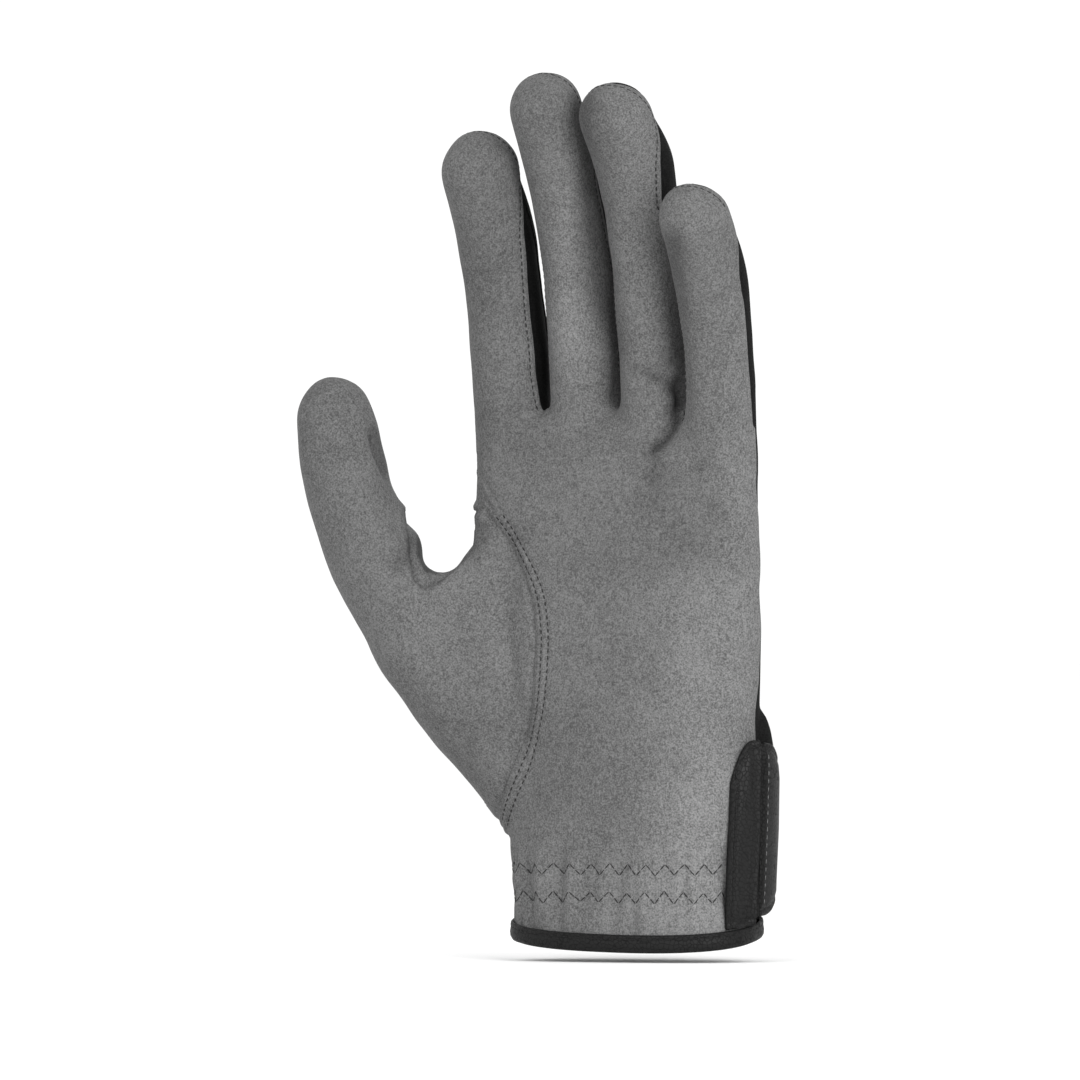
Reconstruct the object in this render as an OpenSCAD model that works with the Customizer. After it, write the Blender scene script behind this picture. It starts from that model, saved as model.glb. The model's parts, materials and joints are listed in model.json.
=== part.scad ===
// Left-hand golf glove, held upright as a hand holds it: fingers towards +Z, palm towards -Y,
// thumb towards -X. The origin is the centre of the cuff opening.

/* [Fabric] */
// Thickness of the suede and of the knitted back
cloth_t = 1.0; // [0.8:0.1:1.4]
// Thickness of the leather of the strap and its anchor
leather_t = 1.2; // [1:0.1:1.6]
// Gap left between two bodies where a stall bends
bend_gap = 0.5; // [0.4:0.1:0.8]

/* [Cuff] */
// Half of the cuff's width
cuff_a = 31.8; // [30:0.1:34]
// Half of the cuff's depth
cuff_b = 19.5; // [18:0.1:21]
// Rise of the cuff's edge from the centre to the back of the hand
cuff_rise = 3.2; // [2:0.1:5]
// Drop of the cuff's edge from its centre to the little finger's side
cuff_lean = 0.9; // [0:0.1:2]
// Height of the leather binding on the cuff's edge
binding_h = 3.4; // [3:0.1:6]

/* [Fingers] */
// Half of the angle that a sewn-in gusset covers on a finger's side
gusset_half = 27; // [21:2:37]
// Height at which the palm ends and the finger stalls begin
crotch_z = 123; // [121:0.5:125]

/* [Strap] */
// Lower edge of the strap at its hinge
strap_low = 4.5; // [4:0.5:8]
// Upper edge of the strap at its hinge
strap_high = 48; // [40:0.5:50]
// Angle round the cuff at which the strap's free end lies
strap_end = 128; // [110:1:135]

/* [Hidden] */

index = 0;
middle = 1;
ring = 2;
little = 3;

ring_n = 36;    // points round a section
dome_rows = 4;  // rows of the rounded fingertip
overrun = 6;    // how far a cutting solid runs past what it cuts
thin_gap = 0.06; // between two layers of one body
seam_gap = 0.6;  // angle left free on each side of a gusset

suede = [0.44, 0.44, 0.45];
knit = [0.09, 0.09, 0.10];
leather = [0.12, 0.12, 0.13];
thread = [0.20, 0.20, 0.21];
elastic_white = [0.75, 0.75, 0.74];

// Each finger: where its axis starts, its fingertip's centre, half widths and half depths
// at the start, the middle and the tip, the height of the middle knuckle, and how sharply the
// curl grows towards the fingertip.
fingers = [
    [[-33.2, -1.0, 104], [-34.3, -19.5, 191.3], [9.5, 10.1, 9.3], [10.2, 10.4, 9.6], 154, 2.8],
    [[-13.2, 1.2, 104], [-14.2, -22.5, 205.6], [8.9, 9.1, 9.0], [10.2, 10.2, 9.6], 158, 2.8],
    [[5.8, 0.0, 104], [5.8, -24.5, 203.5], [8.8, 9.4, 9.4], [10.2, 10.2, 9.6], 157, 4],
    [[24.9, -2.8, 104], [27.2, -24.6, 178.6], [8.7, 9.1, 8.6], [9.6, 9.6, 9.0], 147, 3.2]
];

// The thumb's axis from inside the palm to the centre of its tip, with half width and half depth.
thumb_path = [
    [-22.5, 0, 30, 12, 13], [-33.5, -4, 46.5, 14.2, 14.5], [-45.3, -8, 61.8, 14.6, 14.0],
    [-56.6, -12, 77.5, 13.9, 13.0], [-65.2, -15, 94, 12.5, 12.0], [-70.3, -17, 108, 11.4, 11.0],
    [-73.2, -18, 118.5, 10.9, 10.4], [-74.6, -19, 128.5, 10.3, 9.8]
];
thumb_roll = 38;  // turns the thumb's pad towards the fingers
thumb_knuckle = 5; // row of the path at which the thumb bends

// The hand's own section: height, centre, half width, half depth and the arch of the palm.
palm_path = [
    [-12, 0, cuff_a, cuff_b, 0], [0, 0, cuff_a, cuff_b, 0], [14, 0, 31.6, 19, 0],
    [30, 0.2, 32.6, 18.4, 0.5], [60, -1.0, 34.6, 16.6, 1.5], [90, -2.1, 36.9, 14.8, 3],
    [108, -3.5, 37.6, 13.4, 4], [120, -4.2, 37.0, 11.8, 4.4], [127, -4.4, 35.8, 8.8, 4.6],
    [130.5, -4.6, 34, 5, 4.6]
];
palm_power = 2.35; // 2 is an ellipse; more is squarer

function mix(a, b, t) = a + (b - a) * t;
function unit(v) = v / norm(v);
function turn(v, axis, angle) =
    v * cos(angle) + cross(axis, v) * sin(angle) + axis * (axis * v) * (1 - cos(angle));

// ---- sections of the hand ----
function palm_row(z) =
    let (k = max([for (i = [0:len(palm_path) - 2]) palm_path[i][0] <= z ? i : 0]),
         p = palm_path[k], q = palm_path[k + 1])
    mix(p, q, (z - p[0]) / (q[0] - p[0]));
function sgn_pow(v, p) = sign(v) * pow(abs(v), p);
function palm_point(z, angle, grow = 0) =
    let (r = palm_row(z), e = 2 / palm_power, u = sgn_pow(cos(angle), e), v = sgn_pow(sin(angle), e))
    [r[1] + (r[2] + grow) * u, (r[3] + grow) * v - r[4] * u * u, z];
function palm_rings(grow, low, high) =
    [for (z = concat([low], [for (p = palm_path) if (p[0] > low && p[0] < high) p[0]], [high]))
        [for (k = [0:ring_n - 1]) palm_point(z, 360 * k / ring_n, grow)]];

// ---- sections of a finger: t is 0 where its axis starts and 1 at the fingertip's centre ----
function axis_point(f, t) =
    [mix(f[0][0], f[1][0], t), mix(f[0][1], f[1][1], pow(max(t, 0), f[5])), mix(f[0][2], f[1][2], t)];
function axis_way(f, t) = unit(axis_point(f, t + 0.01) - axis_point(f, t - 0.01));
function three(v, t) = t < 0.5 ? mix(v[0], v[1], t * 2) : mix(v[1], v[2], t * 2 - 1);
function across(way) = unit(cross([0, 1, 0], way));
function section_point(c, way, a, b, angle, roll = 0) =
    let (ea = turn(across(way), way, roll), eb = cross(way, ea))
    c + ea * a * cos(angle) + eb * b * sin(angle);
function t_at(f, z) = (z - f[0][2]) / (f[1][2] - f[0][2]);

// A finger's rows from height z0 to the tip, as [centre, way, half width, half depth].
function finger_row(f, t, grow) =
    [axis_point(f, t), axis_way(f, t), three(f[2], t) + grow, three(f[3], t) + grow];
function dome(c, way, a, b) =
    [for (k = [1:dome_rows]) let (s = sin(90 * k / dome_rows), q = cos(90 * k / dome_rows))
        [c + way * (a + b) / 2 * s, way, a * q, b * q]];
function finger_rows(f, z0, grow, rows = 9) =
    concat([for (k = [0:rows]) finger_row(f, mix(t_at(f, z0), 1, k / rows), grow)],
           let (r = finger_row(f, 1, grow)) dome(r[0], r[1], r[2], r[3]));
function thumb_row(k, grow) =
    let (n = len(thumb_path), p = thumb_path[k],
         lo = thumb_path[max(k - 1, 0)], hi = thumb_path[min(k + 1, n - 1)])
    [[p[0], p[1], p[2]], unit([for (i = [0:2]) hi[i] - lo[i]]), p[3] + grow, p[4] + grow];
function thumb_rows(grow, first = 0) =
    concat([for (k = [first:len(thumb_path) - 1]) thumb_row(k, grow)],
           let (r = thumb_row(len(thumb_path) - 1, grow)) dome(r[0], r[1], r[2], r[3]));
function ring_of(row, roll = 0) =
    [for (k = [0:ring_n - 1]) section_point(row[0], row[1], row[2], row[3], 360 * k / ring_n, roll)];

function middle_of(points) = [for (i = [0:2]) [for (p = points) 1] * [for (p = points) p[i]] / len(points)];

// A closed solid through rings of points, each ring running the same way round.
module loft(rings) {
    n = len(rings[0]);
    m = len(rings);
    points = concat([for (r = rings) each r], [middle_of(rings[0]), middle_of(rings[m - 1])]);
    sides = [for (i = [0:m - 2], k = [0:n - 1])
        let (a = i * n + k, b = i * n + (k + 1) % n)
        each [[a, a + n, b], [b, a + n, b + n]]];
    bottom = [for (k = [0:n - 1]) [m * n, k, (k + 1) % n]];
    top = [for (k = [0:n - 1]) [m * n + 1, (m - 1) * n + (k + 1) % n, (m - 1) * n + k]];
    polyhedron(points, concat(sides, bottom, top));
}

// A closed sheet between two equal grids of points: the outer face and the inner one.
module sheet(outer, inner) {
    m = len(outer);
    n = len(outer[0]);
    all = m * n;
    function at(i, k) = i * n + k;
    skin = [for (i = [0:m - 2], k = [0:n - 2])
        each [[at(i, k), at(i + 1, k), at(i, k + 1)], [at(i, k + 1), at(i + 1, k), at(i + 1, k + 1)]]];
    lining = [for (f = skin) [f[0] + all, f[2] + all, f[1] + all]];
    edge = concat([for (k = [0:n - 2]) [at(0, k), at(0, k + 1)]],
                  [for (i = [0:m - 2]) [at(i, n - 1), at(i + 1, n - 1)]],
                  [for (k = [n - 1:-1:1]) [at(m - 1, k), at(m - 1, k - 1)]],
                  [for (i = [m - 1:-1:1]) [at(i, 0), at(i - 1, 0)]]);
    rim = [for (e = edge) each [[e[0], e[1], e[0] + all], [e[1], e[1] + all, e[0] + all]]];
    polyhedron(concat([for (r = outer) each r], [for (r = inner) each r]), concat(skin, lining, rim));
}

// ---- the whole hand, grown or shrunk by one distance ----
module web(grow) {
    hull() {
        translate([-37, -4.5, 94]) scale([0.9, 0.9, 1]) sphere(8.5 + grow, $fn = 20);
        translate([-59, -12, 75]) sphere(10 + grow, $fn = 20);
        translate([-37, -5, 60]) sphere(12 + grow, $fn = 20);
    }
}
module hand(grow, past = 0) {
    loft(palm_rings(grow, -12, 130.5 + min(grow, 0)));
    for (f = fingers)
        loft([for (r = finger_rows(f, 104, grow, 7)) if (r[0][2] < f[4] + 14) ring_of(r)]);
    loft([for (k = [0:thumb_knuckle + 1]) ring_of(thumb_row(k, grow), thumb_roll)]);
    web(grow);
}

// Half-space on the fingertip side of a plane.
module beyond(c, way, size = 120) {
    multmatrix([for (i = [0:3]) i == 3 ? [0, 0, 0, 1] :
        [across(way)[i], cross(way, across(way))[i], way[i], c[i]]])
    translate([-size / 2, -size / 2, 0]) cube([size, size, size]);
}
module bend_cut(f) {
    t = t_at(f, f[4]);
    intersection() {
        beyond(axis_point(f, t) - axis_way(f, t) * bend_gap / 2, axis_way(f, t));
        translate([f[0][0] - 11, -60, 130]) cube([22, 90, 100]);
    }
}
module thumb_cut() {
    row = thumb_row(thumb_knuckle, 0);
    intersection() {
        beyond(row[0] - row[1] * bend_gap / 2, row[1]);
        translate([-100, -60, 80]) cube([60, 90, 80]);
    }
}
module below_cuff() {
    rotate([atan(cuff_rise / cuff_b), atan(cuff_lean / cuff_a), 0])
        translate([-60, -60, -60]) cube([120, 120, 60]);
}
module skin() {
    difference() {
        hand(0);
        hand(-cloth_t);
        for (f = fingers) bend_cut(f);
        thumb_cut();
        below_cuff();
    }
}

// ---- the regions that the skin is cut into ----
// A slice of a finger between two angles, from its axis outwards. Angle 0 is towards +X.
module slice(f, from, to, z0 = crotch_z - 6, reach = 17) {
    rows = [for (r = finger_rows(f, z0, reach - 9, 6)) if (r[0][2] < f[4] + 16) r];
    steps = 6;
    loft([for (r = rows) concat([r[0]],
        [for (k = [0:steps]) section_point(r[0], r[1], reach, reach, mix(from, to, k / steps))])]);
}
seam_y = 0.4; // how far behind the widest line of the hand the side seam runs
function outer_edge(i) = i == index ? -184 : -180 + gusset_half;
function inner_edge(i) = i == little ? -13 : -gusset_half;
module front_region() {
    loft([for (z = [-14, 0, 30, 60, 90, 108, crotch_z])
        let (r = palm_row(max(z, -12)), k = r[4])
        [[-99, -70, z], [70, -70, z], [70, seam_y - k, z], [r[1] + r[2], seam_y - k, z],
         [r[1], seam_y, z], [r[1] - r[2], seam_y - k, z], [-99, seam_y - k, z]]]);
    for (i = [index:little]) slice(fingers[i], outer_edge(i), inner_edge(i));
}
module back_region() {
    difference() {
        union() {
            translate([-99, -70, -14]) cube([180, 120, crotch_z + 14]);
            for (i = [index:little]) 
                slice(fingers[i], i == little ? -20 : -inner_edge(i), i == index ? 182 : -outer_edge(i));
        }
        front_region();
    }
}
// The seam of the thumb piece across the palm, as the edge of a disc.
seam_centre = [-89.2, 69.4];
seam_r = 68.4;
// From under the web's gusset up past the thumb.
web_line = [[-34.9, 106.8], [-41.5, 99.2], [-43.2, 101.5], [-49, 104], [-53, 109], [-53, 150]];
module thumb_front_region() {
    intersection() {
        translate([seam_centre[0], 0, seam_centre[1]]) rotate([90, 0, 0])
            cylinder(h = 60, r = seam_r, $fn = 120);
        rotate([90, 0, 0]) linear_extrude(70)
            polygon([[-110, 22], [0, 22], [0, 107], each web_line, [-110, 150]]);
    }
}
module thumb_back_region() {
    rotate([90, 0, 0]) translate([0, 0, -45]) linear_extrude(60)
        polygon([[-110, 22], [-31, 22], [-33, 40], [-35.5, 70], [-38.5, 90], each web_line,
                 [-110, 150]]);
}
module thumb_region() {
    intersection() { thumb_front_region(); front_region(); }
    difference() { thumb_back_region(); front_region(); }
}
module web_region() {
    translate([-56, -30, 84]) rotate([0, 38, 0]) translate([0, 0, 0]) cube([5, 60, 40]);
}
module between(i) {
    a = fingers[i][0][0];
    b = fingers[i + 1][0][0];
    translate([a, -60, crotch_z]) cube([b - a, 100, 60]);
}

// ---- the opening at the back of the wrist ----
slit_x = 6;
slit_top = 58;
slit_w = 5;
module slit(grow = 0) {
    translate([0, 60, 0]) rotate([90, 0, 0]) linear_extrude(60)
        offset(grow) union() {
            polygon([[slit_x - slit_w, -20], [slit_x + slit_w, -20], [slit_x + 2, slit_top - 2],
                     [slit_x - 2, slit_top - 2]]);
            translate([slit_x, slit_top - 2]) circle(2, $fn = 24);
        }
}

// ---- panels on the hand's own body ----
module palm_panel() {
    color(suede) resize([0, 0, 0]) difference() {
        intersection() { skin(); front_region(); }
        thumb_region();
        web_region();
    }
}
module back_panel() {
    color(knit) resize([0, 0, 0]) difference() {
        intersection() { skin(); back_region(); }
        thumb_region();
        web_region();
        slit();
    }
}
module thumb_panel() {
    color(suede) resize([0, 0, 0]) difference() {
        intersection() { skin(); thumb_region(); }
        web_region();
    }
}
module web_gusset() {
    color(suede) resize([0, 0, 0]) intersection() { skin(); web_region(); }
}
module crotch_gusset(i) {
    color(knit) resize([0, 0, 0]) difference() {
        intersection() { skin(); between(i); }
        front_region();
        back_region();
    }
}

// ---- panels of a stall beyond its middle knuckle ----
function gusset_at(k, n) =
    seam_gap + (gusset_half - seam_gap) * (1 - pow(min(k / (n - dome_rows - 1), 1), 1.6));
function stall_rows(i, grow) =
    let (f = fingers[i], rows = finger_rows(f, f[4], grow, 7), way = axis_way(f, t_at(f, f[4])))
    [for (k = [0:len(rows) - 1]) let (r = rows[k])
        k == 0 ? [r[0] + way * bend_gap / 2, r[1], r[2], r[3]] : r];
module stall_sheet(i, from, to, steps) {
    function grid(grow) = let (rows = stall_rows(i, grow), n = len(rows))
        [for (k = [0:n - 1]) let (r = rows[k], g = gusset_at(k, n))
            [for (s = [0:steps]) let (a0 = from[0] + from[1] * g, a1 = to[0] + to[1] * g)
                section_point(r[0], r[1], r[2], r[3], mix(a0, a1, s / steps))]];
    sheet(grid(0), grid(-cloth_t));
}
module stall_front(i) {
    color(suede) stall_sheet(i, i == index ? [-184, 0] : [-180, 1], i == little ? [-13, 0] : [0, -1], 10);
}
module stall_back(i) {
    color(knit) stall_sheet(i, i == little ? [-13, 0] : [0, 1], i == index ? [176, 0] : [180, -1], 10);
}
// side is 1 for the gusset towards the little finger and -1 for the one towards the index.
module stall_gusset(i, side) {
    f = fingers[i];
    function grid(grow) = let (rows = stall_rows(i, grow), n = len(rows) - dome_rows)
        [for (k = [0:n - 1]) let (r = rows[k], g = gusset_at(k, len(rows)), c = side > 0 ? 0 : 180)
            [for (s = [-2:2]) section_point(r[0], r[1], r[2], r[3], c + (g - seam_gap) * s / 2)]];
    color(knit) sheet(grid(0), grid(-cloth_t));
}
module thumb_tip() {
    rows = function (grow) [for (r = thumb_rows(grow, thumb_knuckle)) r];
    cut = thumb_row(thumb_knuckle, 0);
    color(suede) resize([0, 0, 0]) difference() {
        loft([for (r = rows(0)) ring_of([r[0] + (r[0] == cut[0] ? cut[1] * bend_gap / 2 : [0, 0, 0]),
                                         r[1], r[2], r[3]], thumb_roll)]);
        loft([for (r = rows(-cloth_t)) ring_of([r[0] - (r[0] == cut[0] ? cut[1] * overrun : [0, 0, 0]),
                                                r[1], r[2], r[3]], thumb_roll)]);
    }
}

// ---- pieces that lie on the cuff ----
// A sheet on the cuff between two offsets from the hand, over angles and heights.
module cuff_sheet(from, to, inside, outside, low, high, steps = 12, rows = 4) {
    function grid(off) = [for (j = [0:rows]) [for (k = [0:steps]) let (a = mix(from, to, k / steps))
        palm_point(mix(low(a), high(a), j / rows), a, off)]];
    sheet(grid(outside), grid(inside));
}
function edge_z(angle, grow = 0) = let (p = palm_point(0, angle, grow))
    cuff_rise * p[1] / cuff_b - cuff_lean * p[0] / cuff_a;

slit_left = 89.2;  // the cuff's angle at the slit's two edges
slit_right = 73.2;
module cuff_binding() {
    gap = 0.3;
    skin_side = [[0.9, binding_h], [0.9, -0.2], [0.4, -0.9], [-cloth_t - 0.4, -0.9], [-cloth_t - 1, -0.2],
                 [-cloth_t - 1, binding_h]];
    slot_side = [[gap, binding_h], [gap, 0.4], [gap, -0.1], [-cloth_t - gap, -0.1], [-cloth_t - gap, 0.4],
                 [-cloth_t - gap, binding_h]];
    function grid(profile) = [for (p = profile)
        [for (k = [0:40]) let (a = mix(slit_left, 360 + slit_right, k / 40))
            palm_point(edge_z(a, p[0]) + p[1] + 0.01, a, p[0])]];
    color(leather) sheet(grid(slot_side), grid(skin_side));
}
module slit_binding() {
    color(leather) resize([0, 0, 0]) difference() {
        intersection() {
            difference() { hand(0.8); hand(-cloth_t - 0.8); }
            slit(2.6);
            translate([-60, 0, 0]) cube([120, 60, 90]);
        }
        slit(-0.9);
        difference() {
            difference() { hand(thin_gap); hand(-cloth_t - thin_gap); }
            slit(-0.1);
        }
        rotate([atan(cuff_rise / cuff_b), atan(cuff_lean / cuff_a), 0])
            translate([-60, -60, binding_h + 0.1 - 60])
            cube([120, 120, 60]);
    }
}
module slit_bar_tack() {
    at = palm_point(slit_top + 4.2, 80, 0);
    color(thread) translate([slit_x - 4, at[1] + 0.35, slit_top + 3.4]) rotate([3.4, 0, 0])
        cube([8, 1, 1.8]);
}
module wrist_elastic() {
    low = function (a) 10;
    high = function (a) 20;
    color(elastic_white) cuff_sheet(-160, -20, -cloth_t - 0.9, -cloth_t - thin_gap, low, high, 14, 2);
}

// A straight stitch: a bar of thread between two points.
module stitch(p, q, thick = 0.45) {
    way = unit(q - p);
    side = unit(cross(way, unit(p + q - [0, 0, p[2] + q[2]]))) * thick / 2;
    up = cross(side, way);
    loft([for (c = [p, q]) [c - side - up, c - side + up, c + side + up, c + side - up]]);
}
zigzag_rows = [11.2, 17.4];
zigzag_rise = 1.5;
module zigzag_stitching() {
    teeth = 34;
    function at(z, j) = palm_point(z + (j % 2 == 0 ? zigzag_rise : -zigzag_rise),
        mix(-165, -27, j / teeth), 0.32);
    color(thread) for (z = zigzag_rows, k = [0:teeth - 1])
        stitch(mix(at(z, k), at(z, k + 1), 0.1), mix(at(z, k), at(z, k + 1), 0.9));
}
// Stitches beside the thumb piece's seam, on the palm.
function front_y(x, z, grow) = let (r = palm_row(z), u = (x - r[1]) / (r[2] + grow))
    -(r[3] + grow) * pow(max(1 - pow(abs(u), palm_power), 0), 1 / palm_power) - r[4] * u * u;
module thumb_seam_stitching() {
    count = 24;
    function at(row, j) = let (a = mix(-19.5, 31, j / count),
        x = seam_centre[0] + (seam_r + row) * cos(a), z = seam_centre[1] + (seam_r + row) * sin(a))
        [x, min(front_y(x, z, 1.3), -1), z];
    color(thread) for (row = [1.4, 3.6], k = [0:count - 1])
        stitch(mix(at(row, k), at(row, k + 1), 0.15), mix(at(row, k), at(row, k + 1), 0.85), 0.4);
}

// ---- the strap ----
hinge_angle = -5;
anchor_from = -27;
function anchor_top(a) = strap_high - 10 * pow(max(hinge_angle - a, 0) / (hinge_angle - anchor_from), 2);
module strap_anchor() {
    low = function (a) strap_low + edge_z(a) * 0.8 + 1.2;
    high = function (a) anchor_top(a);
    color(leather) cuff_sheet(anchor_from, hinge_angle - 1.2, 1, 1 + leather_t, low, high, 8, 6);
}
module anchor_stitching() {
    count = 12;
    function at(j) = palm_point(mix(strap_low + 2, anchor_top(anchor_from) - 1, j / count),
        anchor_from + 3.4, 1 + leather_t + 0.32);
    color(thread) for (k = [0:count - 1])
        stitch(mix(at(k), at(k + 1), 0.2), mix(at(k), at(k + 1), 0.8), 0.4);
}
module hinge_welt() {
    low = function (a) strap_low + 2;
    high = function (a) strap_high - 0.5;
    color(leather) cuff_sheet(hinge_angle - 3.2, hinge_angle - 1.4, 1 + leather_t + 0.12,
        2.4 + leather_t, low, high, 3, 6);
}
// The strap narrows towards its rounded free end and stands a little off the hand.
function tab(a) = (a - hinge_angle) / (strap_end - hinge_angle);
function round_end(a) = sqrt(max(1 - pow(max(tab(a) - 0.84, 0) / 0.16, 2), 0.0025));
function strap_mid(a) = mix((strap_low + strap_high) / 2, 26, tab(a));
function strap_reach(a, inset = 0) = (mix((strap_high - strap_low) / 2, 15, tab(a)) - inset) * round_end(a);
module strap_layer(from, to, inside, outside, inset = 0, steps = 26) {
    low = function (a) strap_mid(a) - strap_reach(a, inset);
    high = function (a) strap_mid(a) + strap_reach(a, inset);
    cuff_sheet(from, to, inside, outside, low, high, steps, 6);
}
strap_off = 3.2; // from the hand to the strap's lining
module closure_strap() {
    color(leather) strap_layer(hinge_angle, strap_end, strap_off + 0.7, strap_off + 0.7 + leather_t);
}
module strap_lining() {
    color(knit) strap_layer(hinge_angle + 1, strap_end - 1.5, strap_off, strap_off + 0.7 - thin_gap, 1.2);
}
module strap_stitching() {
    count = 26;
    function at(side, j) = let (a = mix(hinge_angle + 2, strap_end - 9, j / count))
        palm_point(strap_mid(a) + side * strap_reach(a, 2), a, strap_off + 0.7 + leather_t + 0.22);
    color(thread) for (side = [-1, 1], k = [1:count - 1])
        stitch(mix(at(side, k), at(side, k + 1), 0.2), mix(at(side, k), at(side, k + 1), 0.8), 0.4);
}
module hook_patch() {
    low = function (a) 15;
    high = function (a) 37;
    color(knit) cuff_sheet(98, 121, strap_off - 1.1, strap_off - thin_gap, low, high, 8, 3);
}
module loop_patch() {
    low = function (a) 11;
    high = function (a) 41;
    color(knit) cuff_sheet(99, 138, 0.9, 1.75, low, high, 12, 3);
}
module loop_stitching() {
    function at(z, j) = palm_point(z, mix(101, 136, j / 10), 1.95);
    color(thread) for (z = [12, 40], k = [0:9])
        stitch(mix(at(z, k), at(z, k + 1), 0.2), mix(at(z, k), at(z, k + 1), 0.8), 0.3);
}

palm_panel();
back_panel();
thumb_panel();
thumb_tip();
web_gusset();
crotch_gusset(index);  // index_middle_gusset
crotch_gusset(middle);  // middle_ring_gusset
crotch_gusset(ring);  // ring_little_gusset
stall_front(index);  // index_front
stall_front(middle);  // middle_front
stall_front(ring);  // ring_front
stall_front(little);  // little_front
stall_back(index);  // index_back
stall_back(middle);  // middle_back
stall_back(ring);  // ring_back
stall_back(little);  // little_back
stall_gusset(index, 1);  // index_gusset_inner
stall_gusset(middle, -1);  // middle_gusset_outer
stall_gusset(middle, 1);  // middle_gusset_inner
stall_gusset(ring, -1);  // ring_gusset_outer
stall_gusset(ring, 1);  // ring_gusset_inner
stall_gusset(little, -1);  // little_gusset_outer
cuff_binding();
slit_binding();
wrist_elastic();
zigzag_stitching();
thumb_seam_stitching();
strap_anchor();
anchor_stitching();
hinge_welt();
closure_strap();
strap_lining();
strap_stitching();
hook_patch();
loop_patch();
loop_stitching();
slit_bar_tack();
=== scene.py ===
import json
import math
import bmesh
import bpy
import numpy as np
from mathutils import Matrix, Vector, noise
from mathutils.bvhtree import BVHTree

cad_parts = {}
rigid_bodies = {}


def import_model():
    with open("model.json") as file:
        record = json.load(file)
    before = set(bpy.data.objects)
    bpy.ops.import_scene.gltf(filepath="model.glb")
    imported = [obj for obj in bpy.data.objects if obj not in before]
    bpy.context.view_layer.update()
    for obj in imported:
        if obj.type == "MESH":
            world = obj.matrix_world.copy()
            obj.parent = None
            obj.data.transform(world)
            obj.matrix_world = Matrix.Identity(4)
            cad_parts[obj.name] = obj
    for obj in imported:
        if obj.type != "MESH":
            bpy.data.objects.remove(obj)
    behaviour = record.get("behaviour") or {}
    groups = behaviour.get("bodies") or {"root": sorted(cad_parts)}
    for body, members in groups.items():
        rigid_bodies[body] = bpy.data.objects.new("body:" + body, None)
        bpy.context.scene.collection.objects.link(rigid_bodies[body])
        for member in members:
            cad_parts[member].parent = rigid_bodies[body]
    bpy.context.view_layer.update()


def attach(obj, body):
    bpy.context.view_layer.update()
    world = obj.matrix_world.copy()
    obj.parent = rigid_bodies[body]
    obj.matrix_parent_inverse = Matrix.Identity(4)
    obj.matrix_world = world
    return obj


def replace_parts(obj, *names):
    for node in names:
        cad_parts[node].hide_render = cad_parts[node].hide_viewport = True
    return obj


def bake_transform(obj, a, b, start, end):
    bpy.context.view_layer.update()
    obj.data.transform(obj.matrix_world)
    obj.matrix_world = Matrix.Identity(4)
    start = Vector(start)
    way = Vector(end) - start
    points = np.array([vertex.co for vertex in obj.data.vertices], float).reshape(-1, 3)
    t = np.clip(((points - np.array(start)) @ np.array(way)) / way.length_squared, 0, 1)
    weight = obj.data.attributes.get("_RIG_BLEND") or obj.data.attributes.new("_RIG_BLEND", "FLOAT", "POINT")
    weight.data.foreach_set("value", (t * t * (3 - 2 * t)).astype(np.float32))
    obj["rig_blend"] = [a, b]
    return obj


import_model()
perMetre = 1000.0  # everything is modelled in millimetres and made metres when a piece is finished

# Camera, floor and light
studio = {
    "azimuth": 26.0, "aim": (-21.8, -10.6, 98.3), "distance": 4000.0, "frameWidth": 270.0,
    "floorDrop": 2.0, "floorTone": 0.97, "worldStrength": 1.06,
    # how far to the right and up each lamp stands, in metres, its size and its energy
    "lamps": {"keyLight": (0.55, 0.3, 0.7, 9.0), "fillLight": (-0.6, 0.5, 0.9, 4.0)},
}
viewAngle = math.radians(studio["azimuth"])
acrossView = np.array([math.cos(viewAngle), math.sin(viewAngle), 0.0])
towardsCamera = np.array([math.sin(viewAngle), -math.cos(viewAngle), 0.0])


def setUpCamera():
    data = bpy.data.cameras.new("studioCamera")
    data.lens = 36.0 * studio["distance"] / studio["frameWidth"]
    data.sensor_width = 36.0
    data.clip_start, data.clip_end = 0.01, 50.0
    cam = bpy.data.objects.new("studioCamera", data)
    aim = Vector(studio["aim"])
    place = aim + Vector(towardsCamera) * studio["distance"]
    cam.location = place / perMetre
    cam.rotation_euler = (aim - place).to_track_quat("-Z", "Y").to_euler()
    bpy.context.scene.collection.objects.link(cam)
    bpy.context.scene.camera = cam


def areaLight(name, place, aim, size, energy):
    data = bpy.data.lights.new(name, "AREA")
    data.shape, data.size, data.energy = "DISK", size, energy
    lamp = bpy.data.objects.new(name, data)
    lamp.location = Vector(place)
    lamp.rotation_euler = (Vector(aim) - Vector(place)).to_track_quat("-Z", "Y").to_euler()
    bpy.context.scene.collection.objects.link(lamp)


def setUpLight():
    world = bpy.data.worlds.new("studioWorld")
    world.use_nodes = True
    back = world.node_tree.nodes["Background"]
    back.inputs["Color"].default_value = (1.0, 1.0, 1.0, 1.0)
    back.inputs["Strength"].default_value = studio["worldStrength"]
    bpy.context.scene.world = world
    bpy.context.scene.view_settings.view_transform = "Standard"
    aim = Vector(studio["aim"]) / perMetre
    for name, (right, up, size, energy) in studio["lamps"].items():
        place = aim + Vector(towardsCamera) + Vector(acrossView) * right + Vector((0, 0, up))
        areaLight(name, place, aim, size, energy)


setUpCamera()
setUpLight()

# Materials


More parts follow.
